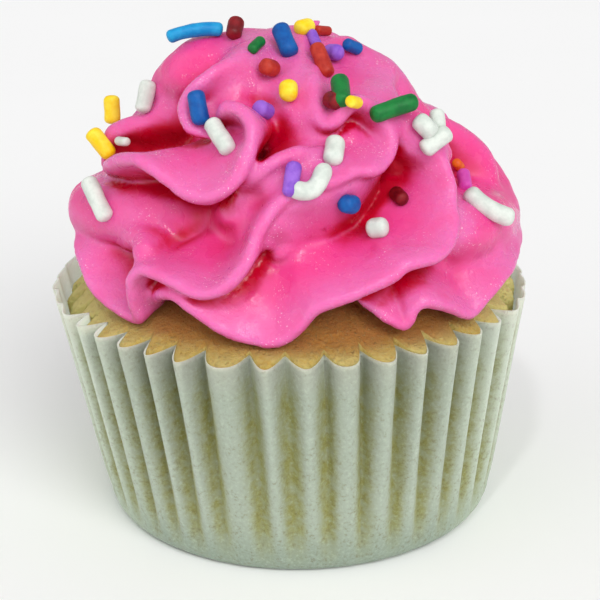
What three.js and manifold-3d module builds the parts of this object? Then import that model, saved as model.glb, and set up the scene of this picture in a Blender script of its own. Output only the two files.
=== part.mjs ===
// A cupcake, in three solids: the fluted paper case, the sponge baked in it,
// and the swirl of frosting piped on top. Millimetres, +Z up. The origin is
// the middle of the flat base; azimuth 0 is the front (-Y), and azimuths grow
// towards +X.
import * as THREE from 'three';
import { mergeVertices } from 'three/addons/utils/BufferGeometryUtils.js';
import { ConvexGeometry } from 'three/addons/geometries/ConvexGeometry.js';
import Module from 'manifold-3d';

const wasm = await Module();
wasm.setup();

// ---- Driving dimensions ----------------------------------------------------

const GAP = 0.3;              // clearance between solids that touch
const WELD = 1e-3;            // corners closer than this are one corner

const FLUTES = 40;            // folds round the paper case
const COLUMNS_PER_FLUTE = 4;
const BASE_RADIUS = 26;       // flat of the base
const FOOT_RADIUS = 28.3;     // mean radius just above the rounded foot
const FOOT_HEIGHT = 3;
const WAIST_HEIGHT = 14;      // where the folds have grown to half their depth
const RIM_RADIUS = 32.2;      // mean radius of the fluted rim
const RIM_HEIGHT = 33.4;
const RIM_FLUTE_DEPTH = 3.7;  // from outer fold to inner fold at the rim
const FOOT_FLUTE_DEPTH = 0.05;
const RIM_LEAN = 1.2;         // the rim sits this far to the left of the base
const RIM_DIP = 0.5;          // how much lower the rim is on the outer folds
const FOLD_BREADTH = 0.9;     // under 1: the outer folds are broader than the inner ones
const PAPER = 0.5;            // wall of the case, measured along the radius
// How much of their depth the folds lose at the far left and right: low down,
// and at the rim.
const SIDE_SHALLOWS = { low: 0.3, rim: 0.85 };
// Azimuths of the inner folds at the front. The others are even.
const FRONT_FOLDS = [-62.9, -54.4, -45.3, -37.3, -29.6, -21.2, -9.9, -1.1, 8.4, 17.4, 26.8, 35.2,
  44.4, 52.9, 62.1];

const CAKE_CLEARANCE = 0.6;   // sponge to paper, measured along the radius
const CAKE_SIDE_GAP = 1.1;    // how much further in it stays at the far left and right
const CAKE_SHOULDER = 0.45;   // how far the sponge rounds off at the paper
const DOME_RINGS = [29.5, 22]; // radii where the dome's slope changes
// The dome of the sponge, as [radius, height].
const DOME = [[0, 41.5], [8, 41.1], [14, 40.4], [20, 39.2], [24, 37.9], [27, 36.2], [29, 34.9],
  [30.5, 34.1], [32, 33.6], [34, 33.2], [37, 32.8]];
const DOME_TOP = DOME[0][1];
// How much lower the sponge is at the case, away from the front.
const EDGE_SAG = { left: 2.2, right: 1.3, back: 0.8 };

const FINE_STEP = 4.6;        // length of one step along a piped ridge
const COARSE_STEP = 7;        // the same on the long waves of the far side
const ROOT_SMOOTHING = 7;     // how far a ridge's waves die out towards its root
const ROOT_SHARE = 0.28;      // a root is no thicker than this share of its radius
const ROOT_REACH = 0.85;      // a blade never runs further in than this share of its radius
const ROUND_TIP = 1.5;        // a blade with a thicker tip than this has a rounded nose

// The frosting's core, as [radius, height].
const CORE_PROFILE = [[22, 33], [21, 42], [19, 46], [16.5, 52], [13.5, 58], [11, 62], [7, 66],
  [1.5, 68.5]];
const CORE_BOTTOM = CORE_PROFILE[0][1];
const CORE_TOP = 69;
const CORE_SIDES = 28;
const SEAT_REACH = 60;        // well beyond the widest ridge
const SEAT_SIDES = 64;

// Each piped ridge is a blade. Its crest runs through knots of [azimuth in
// degrees, height, radius]. From the crest the blade runs inwards by its depth
// and climbs on the way. Several values of depth or climb are spread evenly
// along the crest. The inset draws the crest back towards the root. The tip
// and the root are half thicknesses.
const THIN = { tip: 0.85, root: 2.2 };
const CURLED = { tip: 1, root: 2.2 };
const SOFT = { tip: 1.6, root: 3.2 };
const ROUND = { tip: 4.4, root: 6 };
const RIDGES = {
  lowerWave: {
    depth: 11, climb: [5, 5, 5, 4, 2, 1, 1, 2, 4, 5, 5], inset: 0.5, blade: THIN,
    knots: [[-90, 42.3, 29.2], [-76, 41.4, 31.6], [-66, 39.9, 32.3], [-59, 37.3, 32.1],
      [-51, 35.9, 31.5], [-43.5, 35.4, 31.2], [-42.6, 38.3, 32.4], [-42, 41.5, 33], [-39.3, 43.4, 32.7],
      [-35, 43.5, 32.6], [-29, 42.9, 33], [-22.5, 41.9, 33.2], [-17, 42.9, 32.8], [-12.2, 46, 31.5],
      [-9.8, 49.6, 29.5], [-6.5, 52, 28], [-2.5, 53.8, 27.3], [3.5, 54.7, 27], [10.5, 55.2, 26.5],
      [17.5, 55.6, 25], [24, 55.4, 22.8], [30, 55.3, 21], [36, 55.2, 19.2]],
  },
  frontPetal: {
    depth: [10, 10, 9, 8, 8, 9, 10, 10, 11, 11, 9],
    climb: [6, 7, 7.5, 7.5, 7, 3.5, 1.5, 2, 1, -2, -3],
    inset: 0.6, blade: THIN,
    knots: [[-42, 37.3, 29], [-36, 39.8, 31], [-30, 40.4, 32], [-25, 39, 32.3], [-19.5, 37.1, 32],
      [-13, 35.4, 31.4], [-5, 35.1, 31], [0, 37.2, 31], [4.5, 40, 31.5], [13, 42, 32.3],
      [21, 43.8, 32.8], [25, 45.2, 33], [32, 45.4, 33], [37.5, 46.2, 32.3], [41, 48, 31.2],
      [43.7, 50.4, 29.6], [46.8, 53, 28], [48.3, 55.3, 26], [46.5, 56.7, 24], [42, 57, 22]],
  },
  rightWave: {
    depth: 11, climb: [8, 8, 7, 6, 5, 5, 5, 5], blade: THIN,
    knots: [[14, 41, 27], [19.5, 38.9, 29.5], [22.5, 37.7, 31], [26, 36.7, 31.4], [27.6, 38.7, 31.7],
      [30.3, 39.6, 32], [35, 38.8, 32], [40, 37.2, 31.9], [45.5, 35.8, 31.8], [50, 37.3, 32.1],
      [56.5, 38.9, 32.3], [64, 39.6, 32.1], [73, 40.2, 31.2], [83, 40, 30.9], [93, 39, 30.9],
      [103, 37.3, 31], [108, 36, 31.3], [112, 38.5, 31.8], [118, 42, 32.4], [127, 44, 32.5],
      [136, 42, 32], [144, 39.5, 31.8]],
  },
  rightBand: {
    depth: 8, climb: 1, blade: ROUND,
    knots: [[42, 46, 24], [50, 45.6, 26], [60, 45, 26.8], [72, 44, 27], [84, 43, 26.9], [94, 43, 27],
      [104, 44.5, 27], [112, 47, 25.5]],
  },
  rightLobe: {
    depth: 12, climb: -1, blade: { tip: 2.4, root: 5 },
    knots: [[64, 59.2, 14.4], [71, 57.8, 16.5], [77, 56, 18.4], [82, 54.8, 20.6], [85, 53.4, 22.7],
      [86.5, 51.4, 24.7], [86, 49, 25.9], [84, 46.5, 26.4], [80, 44.6, 26.6]],
  },
  leftLobe: {
    depth: 10, climb: 1, blade: { tip: 4.6, root: 7 },
    knots: [[-106, 42.5, 28], [-97, 43.3, 28], [-88, 44.2, 28], [-79, 45.2, 27.6], [-69, 46.1, 26.2],
      [-58, 46.8, 23.8], [-47, 47, 21], [-37, 47, 19]],
  },
  leftHump: {
    depth: 4, climb: 0, blade: { tip: 1.7, root: 2.6 },
    knots: [[-41, 42.3, 31], [-42, 44.4, 29.8], [-45.5, 45.4, 28.2], [-51, 45.3, 27.4],
      [-58, 43.6, 27.2]],
  },
  leftShelf: {
    depth: 9, climb: 1, blade: SOFT,
    knots: [[-80, 58, 17], [-84, 56.9, 20], [-87, 56, 22.8], [-90, 54.9, 25], [-92, 53.2, 26],
      [-94, 51, 26.2], [-100, 49.5, 26.2]],
  },
  upperWave: {
    depth: 9, climb: [-3, -3, -3, -2, 0, 2, 4, 3, 0, -4, -5], blade: CURLED,
    knots: [[-82, 51, 25.9], [-72, 52.4, 26.8], [-62, 54.1, 28], [-54, 55.8, 28.2], [-46, 56.5, 28.2],
      [-40.5, 55.9, 28.2], [-36, 54.7, 28], [-31, 53.5, 27.8], [-25.5, 53.1, 27.6], [-20.5, 54.1, 27.5],
      [-17, 55.6, 27], [-14.8, 57.6, 26], [-13.4, 59.8, 24.8], [-13.7, 61.7, 23.6], [-16.5, 63, 22.5],
      [-20.2, 63.6, 21.8], [-24.5, 63.4, 21.2], [-28, 62.2, 20.7], [-30, 60.8, 20.3]],
  },
  leftCurl: {
    depth: 8, climb: [0, -1, -2, -3, -3, -3, -1, 1, 2], blade: CURLED,
    knots: [[-50, 68, 5], [-37, 67.8, 8.6], [-33, 67.8, 12], [-33.5, 67.5, 15.5], [-36, 66.8, 17.8],
      [-39, 65.7, 19.5], [-41.8, 64.1, 20.9], [-42.8, 62.5, 21.5], [-41.6, 61.2, 21.8],
      [-39, 60.2, 21.9], [-35.5, 59.7, 21.8], [-31, 59.4, 21.5]],
  },
  rightCurl: {
    depth: 8, climb: [0, -1, -1, -2, -3, -2, 0, 2, 3], blade: CURLED,
    knots: [[13, 66.4, 11.5], [9.5, 65.3, 14], [8, 63.6, 16.4], [8.8, 62, 18.4], [11.3, 61, 19.8],
      [14.4, 61.6, 20.2], [18.3, 63, 20], [22.2, 63.6, 19.8], [26.4, 63.3, 20], [30.4, 62, 20.6],
      [33, 60.4, 21.2], [33.4, 58.6, 22], [30.8, 57, 22.8], [26.5, 56, 23.8], [22, 55.8, 24.6],
      [17, 56, 24.8]],
  },
  middleSheet: {
    depth: 3.2, climb: -7, blade: { tip: 1.5, root: 2.4 },
    knots: [[-9, 48, 27.4], [-6, 50.4, 26.2], [-2.5, 52.2, 25.6], [3.5, 53.2, 25.3], [10.5, 53.8, 24.8],
      [17.5, 54.2, 23.4], [24, 54, 21.3], [30, 53.8, 19.4], [36, 53.2, 17.2]],
  },
  innerFold: {
    depth: 6, climb: 0, blade: { tip: 2, root: 3 },
    knots: [[-14, 52.8, 23], [-9, 54.2, 23.4], [-2, 55.2, 23.2], [5, 56, 22.4], [12, 56.8, 21.2]],
  },
  innerRim: {
    depth: 5, climb: -3, blade: { tip: 1.1, root: 2.4 },
    knots: [[-18, 52.8, 23.8], [-15, 54.8, 24.6], [-10.2, 56.6, 24.8], [-6.4, 57.6, 24.4],
      [-3.5, 58, 24], [2, 58.2, 22.8], [7.8, 58, 21.6]],
  },
  caveFilling: {
    depth: 4, climb: 0, blade: { tip: 2.6, root: 3.6 },
    knots: [[-28, 48.4, 21], [-21, 49.4, 22], [-15, 50, 22.6], [-9, 50, 22.6]],
  },
  curlFilling: {
    depth: 5, climb: -2, blade: { tip: 1.8, root: 4 },
    knots: [[4, 64.8, 11.4], [2, 63, 13.6], [3, 60.8, 15.8], [9, 58.8, 16.4], [16, 58.2, 16],
      [24, 58, 15.6], [29, 57, 16]],
  },
  peakFold: {
    depth: 5, climb: 0, blade: { tip: 1.2, root: 2.5 },
    knots: [[30, 69.4, 1.5], [8, 68.6, 5], [2, 67, 8.5], [-2, 65, 11.5], [-4, 63, 13.5]],
  },
  curlSheet: {
    depth: 5, climb: -2, blade: { tip: 3.8, root: 5 },
    knots: [[-42, 65.5, 6.2], [-40, 65, 9], [-38, 64, 12], [-37, 62, 14], [-37, 60, 15]],
  },
  frontSheet: {
    depth: 5, climb: 0, blade: { tip: 3, root: 5 },
    knots: [[-2, 64, 9], [-3, 61.5, 12], [0, 59.4, 13], [5, 57.8, 13.8], [12, 56.8, 14.6]],
  },
  crownLeft: {
    depth: 9, climb: -2, blade: ROUND,
    knots: [[-95, 65.6, 4], [-86, 64.6, 8.4], [-85, 63.8, 12.4], [-88, 62.9, 14], [-93, 61.5, 15],
      [-97, 59.7, 16.3], [-102, 58, 18]],
  },
  crownRight: {
    depth: 9, climb: -2, blade: ROUND,
    knots: [[60, 65.3, 3.8], [70, 64, 6.5], [74, 62.4, 9.3], [74, 60.8, 11.4], [76, 58.4, 12.6],
      [82, 56, 13.8], [90, 54, 15.5]],
  },
  rightEdge: {
    depth: 5, climb: -2, blade: { tip: 1.1, root: 2.6 },
    knots: [[78, 64.6, 12.8], [66, 64.3, 13.6], [54, 63.4, 14.8], [44, 62.6, 16], [36, 61.8, 17]],
  },
  rightShoulder: {
    depth: 7, climb: 0, blade: { tip: 2.6, root: 4.5 },
    knots: [[20, 62.8, 11.5], [32, 61.5, 14], [38, 60.6, 16.8], [44, 59.2, 19.4], [49, 57.4, 21.8],
      [54, 55.2, 23.5]],
  },
  backWaveLow: {
    depth: 11, climb: 5, blade: THIN, step: COARSE_STEP,
    knots: [[-96, 41, 30.8], [-104, 38, 31.2], [-110, 36, 31.2], [-113, 38.5, 31.9], [-117, 42, 32.6],
      [-124, 44, 32.6], [-132, 42, 32.2], [-140, 39, 31.6], [-147, 36.5, 31.2], [-153, 35.5, 31],
      [-157, 38, 31.6], [-162, 42, 32.2], [-169, 44.5, 32.2], [-177, 43, 32.2], [-186, 40, 31.8],
      [-193, 37, 31.3], [-199, 36, 31.2], [-203, 38.5, 31.8], [-208, 42.5, 32.2], [-215, 45, 32]],
  },
  backWaveMiddle: {
    depth: 10, climb: 3, blade: THIN, step: COARSE_STEP,
    knots: [[-93, 50, 27.2], [-102, 51.5, 27.8], [-112, 52.8, 26.6], [-122, 54, 26.6],
      [-131, 52.5, 28.3], [-140, 49.5, 29.4], [-149, 49, 29.5], [-158, 51.5, 28.8], [-166, 55, 27.2],
      [-176, 56.5, 26.5], [-186, 54.5, 27.4], [-196, 51, 28.6], [-205, 49.5, 29.4], [-214, 50.5, 29],
      [-224, 52.8, 27.4], [-234, 53, 26], [-242, 51.5, 25.8]],
  },
  backWaveHigh: {
    depth: 8, climb: 2, blade: THIN, step: COARSE_STEP,
    knots: [[-100, 59, 21.5], [-110, 58.3, 23], [-120, 59.8, 22.4], [-130, 62.5, 21],
      [-141, 63.5, 20.5], [-151, 61, 22], [-160, 59, 23.3], [-170, 59.5, 23], [-180, 62, 21.5],
      [-190, 64, 19.5], [-201, 63, 19.5], [-211, 60.5, 20.5], [-221, 58.8, 21], [-231, 58.8, 20],
      [-242, 58.8, 18]],
  },
  backCrown: {
    depth: 7, climb: 0, blade: THIN, step: COARSE_STEP,
    knots: [[-115, 66, 12.5], [-130, 66, 13.5], [-145, 65.5, 15], [-160, 65.5, 14.5],
      [-175, 66.3, 12.4], [-190, 66.5, 11], [-205, 65.6, 12.3], [-220, 63.6, 14], [-235, 62.6, 14],
      [-250, 62.8, 12.2]],
  },
  spike: {
    depth: 1, climb: -1.5, blade: { tip: 1, root: 1.5 },
    knots: [[50, 68.4, 1.4], [65, 69.6, 2.1], [80, 70.5, 3.1]],
  },
};

// ---- Shared helpers --------------------------------------------------------

function mix(a, b, t) {
  return a + (b - a) * t;
}

function smoothstep(low, high, value) {
  const share = THREE.MathUtils.clamp((value - low) / (high - low), 0, 1);
  return share * share * (3 - 2 * share);
}

// A point from azimuth (radians), height and radius.
function onCylinder(azimuth, height, radius) {
  return new THREE.Vector3(radius * Math.sin(azimuth), -radius * Math.cos(azimuth), height);
}

// The height of a profile of [radius, height] points at a radius.
function heightAt(profile, radius) {
  const next = profile.findIndex(([distance]) => distance > radius);
  const [near, far] = [profile[next - 1], profile[next]];
  return mix(near[1], far[1], (radius - near[0]) / (far[0] - near[0]));
}

// One of several values spread evenly from 0 to 1, or the only value.
function spread(values, share) {
  const list = [values].flat();
  const place = share * (list.length - 1);
  const below = Math.min(Math.floor(place), Math.max(0, list.length - 2));
  return mix(list[below], list[below + 1] ?? list[below], place - below);
}

// Closed form between a bottom and a top centre point, through rings of equal
// length. Every quad is split from low left to high right, on rising and on
// falling walls alike, so that nested walls keep their distance.
function ringSolid(bottomCentre, rings, topCentre) {
  const count = rings[0].length;
  const last = rings.length - 1;
  const points = [bottomCentre, ...rings.flat(), topCentre];
  const index = [];
  const at = (ring, column) => 1 + ring * count + (column % count);
  for (let column = 0; column < count; column += 1) {
    index.push(0, at(0, column + 1), at(0, column));
    for (let ring = 0; ring < last; ring += 1) {
      const [a, b] = [at(ring, column), at(ring, column + 1)];
      const [c, d] = [at(ring + 1, column), at(ring + 1, column + 1)];
      const rising = rings[ring + 1][column].z > rings[ring][column].z;
      index.push(...(rising ? [a, b, d, a, d, c] : [a, b, c, b, d, c]));
    }
    index.push(at(last, column), at(last, column + 1), points.length - 1);
  }
  const geometry = new THREE.BufferGeometry().setFromPoints(points);
  geometry.setIndex(index);
  return geometry;
}

// ---- Flutes, shared by the case and the sponge -----------------------------

// For each column round the case: its azimuth, and where it is in its flute,
// from -1 on an inner fold to 1 on an outer one.
function fluteColumns() {
  const hidden = FLUTES - FRONT_FOLDS.length;
  const start = FRONT_FOLDS[0];
  const end = FRONT_FOLDS[FRONT_FOLDS.length - 1];
  const gap = (360 - end + start) / (hidden + 1);
  const behind = [...Array(hidden).keys()].map((i) => end + gap * (i + 1));
  const folds = [...FRONT_FOLDS, ...behind, start + 360].map(THREE.MathUtils.degToRad);
  return [...Array(FLUTES * COLUMNS_PER_FLUTE).keys()].map((column) => {
    const flute = Math.floor(column / COLUMNS_PER_FLUTE);
    const share = (column % COLUMNS_PER_FLUTE) / COLUMNS_PER_FLUTE;
    return {
      azimuth: mix(folds[flute], folds[flute + 1], share),
      wave: 2 * Math.sin(Math.PI * share) ** FOLD_BREADTH - 1,
    };
  });
}

const COLUMNS = fluteColumns();

// The folds are uneven: their depth varies round the case.
function foldStrength(azimuth) {
  return 1 + 0.08 * Math.sin(3 * azimuth + 1.3) + 0.05 * Math.sin(8 * azimuth + 0.4);
}

// 0 round the front and back of the case, 1 at its far left and right.
function sideShare(azimuth) {
  return smoothstep(0.87, 0.94, Math.abs(Math.sin(azimuth)));
}

// Mean radius of the outside of the case at a height.
function caseRadius(height) {
  const climb = (height - FOOT_HEIGHT) / (RIM_HEIGHT - FOOT_HEIGHT);
  return climb < 0
    ? mix(BASE_RADIUS, FOOT_RADIUS, height / FOOT_HEIGHT)
    : mix(FOOT_RADIUS, RIM_RADIUS, climb);
}

// From outer fold to inner fold at a height.
function fluteDepth(height) {
  const climb = height / RIM_HEIGHT;
  return mix(FOOT_FLUTE_DEPTH, RIM_FLUTE_DEPTH, climb ** 0.8 * smoothstep(0, 0.2, climb));
}

// A point of the wall of the case, moved in by inset. Where it is opened, the
// folds flatten out at the far left and right.
function casePoint({ azimuth, wave }, height, inset, opened) {
  const rise = smoothstep(0.5, 0.95, height / RIM_HEIGHT);
  const flat = opened ? sideShare(azimuth) * mix(SIDE_SHALLOWS.low, SIDE_SHALLOWS.rim, rise) : 0;
  const fold = (fluteDepth(height) / 2) * foldStrength(azimuth) * mix(wave, 1, flat);
  const point = onCylinder(azimuth, height, caseRadius(height) + fold - inset);
  point.x -= (RIM_LEAN * height) / RIM_HEIGHT;
  return point;
}

// ---- Paper case ------------------------------------------------------------

function paperRing(height, inset, lift) {
  return COLUMNS.map((column) => {
    const point = casePoint(column, height, inset, true);
    point.z += lift;
    if (height === RIM_HEIGHT) {
      point.z -= (RIM_DIP * (column.wave + 1)) / 2;
    }
    return point;
  });
}

function paperCaseGeometry() {
  const heights = [0, FOOT_HEIGHT, WAIST_HEIGHT, RIM_HEIGHT];
  const outside = heights.map((height) => paperRing(height, 0, 0));
  const inside = heights.map((height) => paperRing(height, PAPER, height === 0 ? PAPER : 0)).reverse();
  return ringSolid(new THREE.Vector3(0, 0, 0), [...outside, ...inside], new THREE.Vector3(0, 0, PAPER));
}

// ---- Sponge ----------------------------------------------------------------

// How much lower the sponge is at the case than its dome would be.
function edgeSag(azimuth) {
  const left = smoothstep(0.72, 0.97, -Math.sin(azimuth));
  const right = smoothstep(0.78, 0.98, Math.sin(azimuth));
  const back = smoothstep(0.1, 0.7, -Math.cos(azimuth));
  return EDGE_SAG.left * left + EDGE_SAG.right * right + EDGE_SAG.back * back;
}

// A point of the sponge's side.
function cakePoint(column, height) {
  const side = CAKE_SIDE_GAP * sideShare(column.azimuth) * (height / RIM_HEIGHT);
  return casePoint(column, height, PAPER + CAKE_CLEARANCE + side, false);
}

function cakeEdgePoint(column) {
  const rim = cakePoint(column, RIM_HEIGHT - 1);
  const top = heightAt(DOME, Math.hypot(rim.x, rim.y)) - edgeSag(column.azimuth) - CAKE_SHOULDER;
  return cakePoint(column, top);
}

function domeRing(radius) {
  return COLUMNS.map(({ azimuth }) => {
    const sag = edgeSag(azimuth) * (radius / RIM_RADIUS) ** 8;
    return onCylinder(azimuth, heightAt(DOME, radius) - sag, radius);
  });
}

function cakeGeometry() {
  const floor = PAPER + GAP;
  const bottom = COLUMNS.map((column) => {
    const point = casePoint(column, 0, PAPER + CAKE_CLEARANCE + GAP, false);
    point.z = floor;
    return point;
  });
  const sides = [FOOT_HEIGHT, WAIST_HEIGHT].map((height) => (
    COLUMNS.map((column) => cakePoint(column, height))));
  const rings = [bottom, ...sides, COLUMNS.map(cakeEdgePoint), ...DOME_RINGS.map(domeRing)];
  return ringSolid(new THREE.Vector3(0, 0, floor), rings, new THREE.Vector3(0, 0, DOME_TOP));
}

// ---- Frosting --------------------------------------------------------------

// A closed mesh as a solid that can be joined and cut.
function toSolid(geometry) {
  const bare = geometry.clone();
  bare.deleteAttribute('normal');
  bare.deleteAttribute('uv');
  const merged = mergeVertices(bare, WELD);
  return new wasm.Manifold(new wasm.Mesh({
    numProp: 3,
    vertProperties: new Float32Array(merged.attributes.position.array),
    triVerts: new Uint32Array(merged.index.array),
  }));
}

function toGeometry(solid) {
  const mesh = solid.getMesh();
  const geometry = new THREE.BufferGeometry();
  geometry.setAttribute('position', new THREE.BufferAttribute(mesh.vertProperties, 3));
  geometry.setIndex(new THREE.BufferAttribute(mesh.triVerts, 1));
  return geometry;
}

function lathe(profile, sides) {
  const points = profile.map(([radius, height]) => new THREE.Vector2(radius, height));
  return new THREE.LatheGeometry(points, sides).rotateX(Math.PI / 2);
}

// Even steps along the crest of a ridge.
function crestPoints(knots, step) {
  const points = knots.map(([azimuth, height, radius]) => (
    onCylinder(THREE.MathUtils.degToRad(azimuth), height, radius)));
  const curve = new THREE.CatmullRomCurve3(points, false, 'catmullrom', 0.5);
  return curve.getSpacedPoints(Math.max(2, Math.round(curve.getLength() / step)));
}

// The crest with its waves averaged away.
function smoothed(points, step) {
  const reach = ROOT_SMOOTHING / step;
  return points.map((_, centre) => {
    const sum = new THREE.Vector3();
    let total = 0;
    points.forEach((point, other) => {
      const weight = Math.exp(-0.5 * ((other - centre) / reach) ** 2);
      sum.addScaledVector(point, weight);
      total += weight;
    });
    return sum.divideScalar(total);
  });
}

// Where the blade of each crest point ends, inside the core.
function rootPoints(crest, step, depth, climb) {
  return smoothed(crest, step).map((point, i) => {
    const share = i / (crest.length - 1);
    const radius = Math.hypot(point.x, point.y);
    const scale = 1 - Math.min(spread(depth, share), ROOT_REACH * radius) / radius;
    return new THREE.Vector3(point.x * scale, point.y * scale, point.z + spread(climb, share));
  });
}

// Cross-section of a blade: it widens from the blunt or rounded crest to the root.
function bladeSection(crest, root, along, blade) {
  const inward = root.clone().sub(crest).normalize();
  const side = inward.clone().cross(along).normalize();
  const rootWidth = Math.min(blade.root, ROOT_SHARE * Math.hypot(crest.x, crest.y) + blade.tip);
  const pair = (centre, width) => [width, -width].map((away) => centre.clone().addScaledVector(side, away));
  const nose = crest.clone().addScaledVector(inward, -0.8 * blade.tip);
  const tip = blade.tip > ROUND_TIP
    ? [...pair(nose, 0.5 * blade.tip), ...pair(crest, blade.tip)]
    : pair(nose, 0.8 * blade.tip);
  return [...tip, ...pair(root, rootWidth)];
}

// A ridge is a chain of convex pieces, each between two neighbouring sections.
function ridgePieces({ knots, depth, climb, blade, inset = 0, step = FINE_STEP }) {
  const outline = crestPoints(knots, step);
  const root = rootPoints(outline, step, depth, climb);
  const crest = outline.map((point, i) => (
    point.clone().addScaledVector(root[i].clone().sub(point).normalize(), inset)));
  const sections = crest.map((point, i) => {
    const along = crest[Math.min(i + 1, crest.length - 1)].clone().sub(crest[Math.max(i - 1, 0)]);
    return bladeSection(point, root[i], along, blade);
  });
  return sections.slice(1).map((section, i) => toSolid(new ConvexGeometry([...sections[i], ...section])));
}

// What lies under the frosting: everything up to the dome or the rim, and a gap more.
function seatProfile() {
  const level = (radius) => Math.max(heightAt(DOME, radius), RIM_HEIGHT) + GAP;
  const slope = [RIM_RADIUS, ...DOME_RINGS].map((radius) => [radius, level(radius)]);
  return [
    [0, 0],
    [SEAT_REACH, 0],
    [SEAT_REACH, RIM_HEIGHT + GAP],
    [RIM_RADIUS + RIM_FLUTE_DEPTH / 2, RIM_HEIGHT + GAP],
    ...slope,
    [0, DOME_TOP + GAP],
  ];
}

function largest(solid) {
  return solid.decompose().sort((a, b) => b.volume() - a.volume())[0];
}

// The largest body without the slivers that cuts leave in its surface: once
// its corners are welded, each sliver is a body of its own.
function cleaned(solid) {
  return largest(toSolid(toGeometry(largest(solid))));
}

function frostingGeometry() {
  const core = toSolid(lathe([[0, CORE_BOTTOM], ...CORE_PROFILE, [0, CORE_TOP]], CORE_SIDES));
  const pieces = Object.values(RIDGES).flatMap(ridgePieces);
  const swirl = wasm.Manifold.union([core, ...pieces]);
  const seated = swirl.subtract(toSolid(lathe(seatProfile(), SEAT_SIDES)));
  return toGeometry(cleaned(seated));
}

// ---- Scene graph -----------------------------------------------------------

function part(name, geometry, colour, roughness) {
  const material = new THREE.MeshStandardMaterial({ color: colour, roughness, metalness: 0 });
  const mesh = new THREE.Mesh(geometry, material);
  mesh.name = name;
  return mesh;
}

const cupcake = new THREE.Group();
cupcake.add(
  part('paper_case', paperCaseGeometry(), 0xb8c8b0, 0.8),
  part('cake', cakeGeometry(), 0xc0a058, 0.9),
  part('frosting', frostingGeometry(), 0xf060a8, 0.4),
);

export default cupcake;
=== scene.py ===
import math
from collections import namedtuple

import bpy
import numpy as np
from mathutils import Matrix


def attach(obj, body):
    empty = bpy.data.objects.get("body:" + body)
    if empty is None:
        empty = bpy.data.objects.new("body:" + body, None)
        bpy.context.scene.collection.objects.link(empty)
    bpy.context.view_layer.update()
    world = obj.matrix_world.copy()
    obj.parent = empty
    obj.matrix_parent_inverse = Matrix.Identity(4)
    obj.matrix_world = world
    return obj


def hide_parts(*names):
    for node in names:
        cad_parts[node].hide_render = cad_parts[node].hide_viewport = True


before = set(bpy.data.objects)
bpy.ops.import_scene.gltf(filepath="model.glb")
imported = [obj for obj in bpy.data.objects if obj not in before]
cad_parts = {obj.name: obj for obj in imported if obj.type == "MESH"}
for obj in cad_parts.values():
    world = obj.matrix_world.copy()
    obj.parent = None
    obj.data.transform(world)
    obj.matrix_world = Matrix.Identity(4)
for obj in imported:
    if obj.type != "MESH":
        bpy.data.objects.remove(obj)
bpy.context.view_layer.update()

import openvdb
from mathutils import Matrix, Vector
from mathutils.kdtree import KDTree

# A cupcake: a fluted paper case, the sponge baked in it, a deep ruffled swirl of
# piped frosting, and sugar sprinkles. Shapes are worked out in millimetres and
# turned into metres when a piece is made. Azimuth 0 is the front (-Y), and
# azimuths grow towards +X.

MM = 0.001


# ---- Camera ----
# The place and lens that give the photograph's view, in its 600 x 600 frame.

FRAME_PIXELS = 600
FOCAL_PIXELS = 1736
CAMERA_ELEVATION = math.radians(19.1)
CAMERA_ROLL = math.radians(-0.63)
CAMERA_DISTANCE = 250
ORBIT_CENTRE = Vector((0, 0, 38))
CAMERA_TARGET = Vector((0.23, 0, 29.5))
SENSOR = 36


def camera_axes():
    """The camera's place in millimetres, and its right, up and forward directions."""
    back = Vector((0, -math.cos(CAMERA_ELEVATION), math.sin(CAMERA_ELEVATION)))
    place = ORBIT_CENTRE + back * CAMERA_DISTANCE
    forward = (CAMERA_TARGET - place).normalized()
    level = forward.cross(Vector((0, 0, 1))).normalized()
    upright = level.cross(forward)
    right = level * math.cos(CAMERA_ROLL) + upright * math.sin(CAMERA_ROLL)
    up = upright * math.cos(CAMERA_ROLL) - level * math.sin(CAMERA_ROLL)
    return place, right, up, forward


def make_camera():
    place, right, up, forward = camera_axes()
    data = bpy.data.cameras.new("camera")
    data.sensor_width = SENSOR
    data.lens = FOCAL_PIXELS / FRAME_PIXELS * SENSOR
    data.clip_start = 0.01
    camera = bpy.data.objects.new("camera", data)
    bpy.context.scene.collection.objects.link(camera)
    turn = Matrix((right, up, -forward)).transposed().to_4x4()
    camera.matrix_world = Matrix.Translation(place * MM) @ turn
    bpy.context.scene.camera = camera


def pixel_ray(pixel):
    """Where the ray through a pixel of the photograph starts, and its direction."""
    place, right, up, forward = camera_axes()
    across = (pixel[0] - FRAME_PIXELS / 2) / FOCAL_PIXELS
    down = (pixel[1] - FRAME_PIXELS / 2) / FOCAL_PIXELS
    direction = (forward + right * across - up * down).normalized()
    return np.array(place), np.array(direction)


# ---- Meshes ----


def new_piece(name, points, faces, material, attributes=None):
    """A smooth mesh object from points in millimetres, with its values for each point."""
    mesh = bpy.data.meshes.new(name)
    mesh.from_pydata((np.asarray(points) * MM).tolist(), [], faces)
    mesh.polygons.foreach_set("use_smooth", [True] * len(mesh.polygons))
    for title, values in (attributes or {}).items():
        layer = mesh.attributes.new(title, "FLOAT", "POINT")
        layer.data.foreach_set("value", np.asarray(values, np.float32))
    mesh.materials.append(material)
    mesh.validate()
    mesh.update()
    piece = bpy.data.objects.new(name, mesh)
    bpy.context.scene.collection.objects.link(piece)
    return piece


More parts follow.
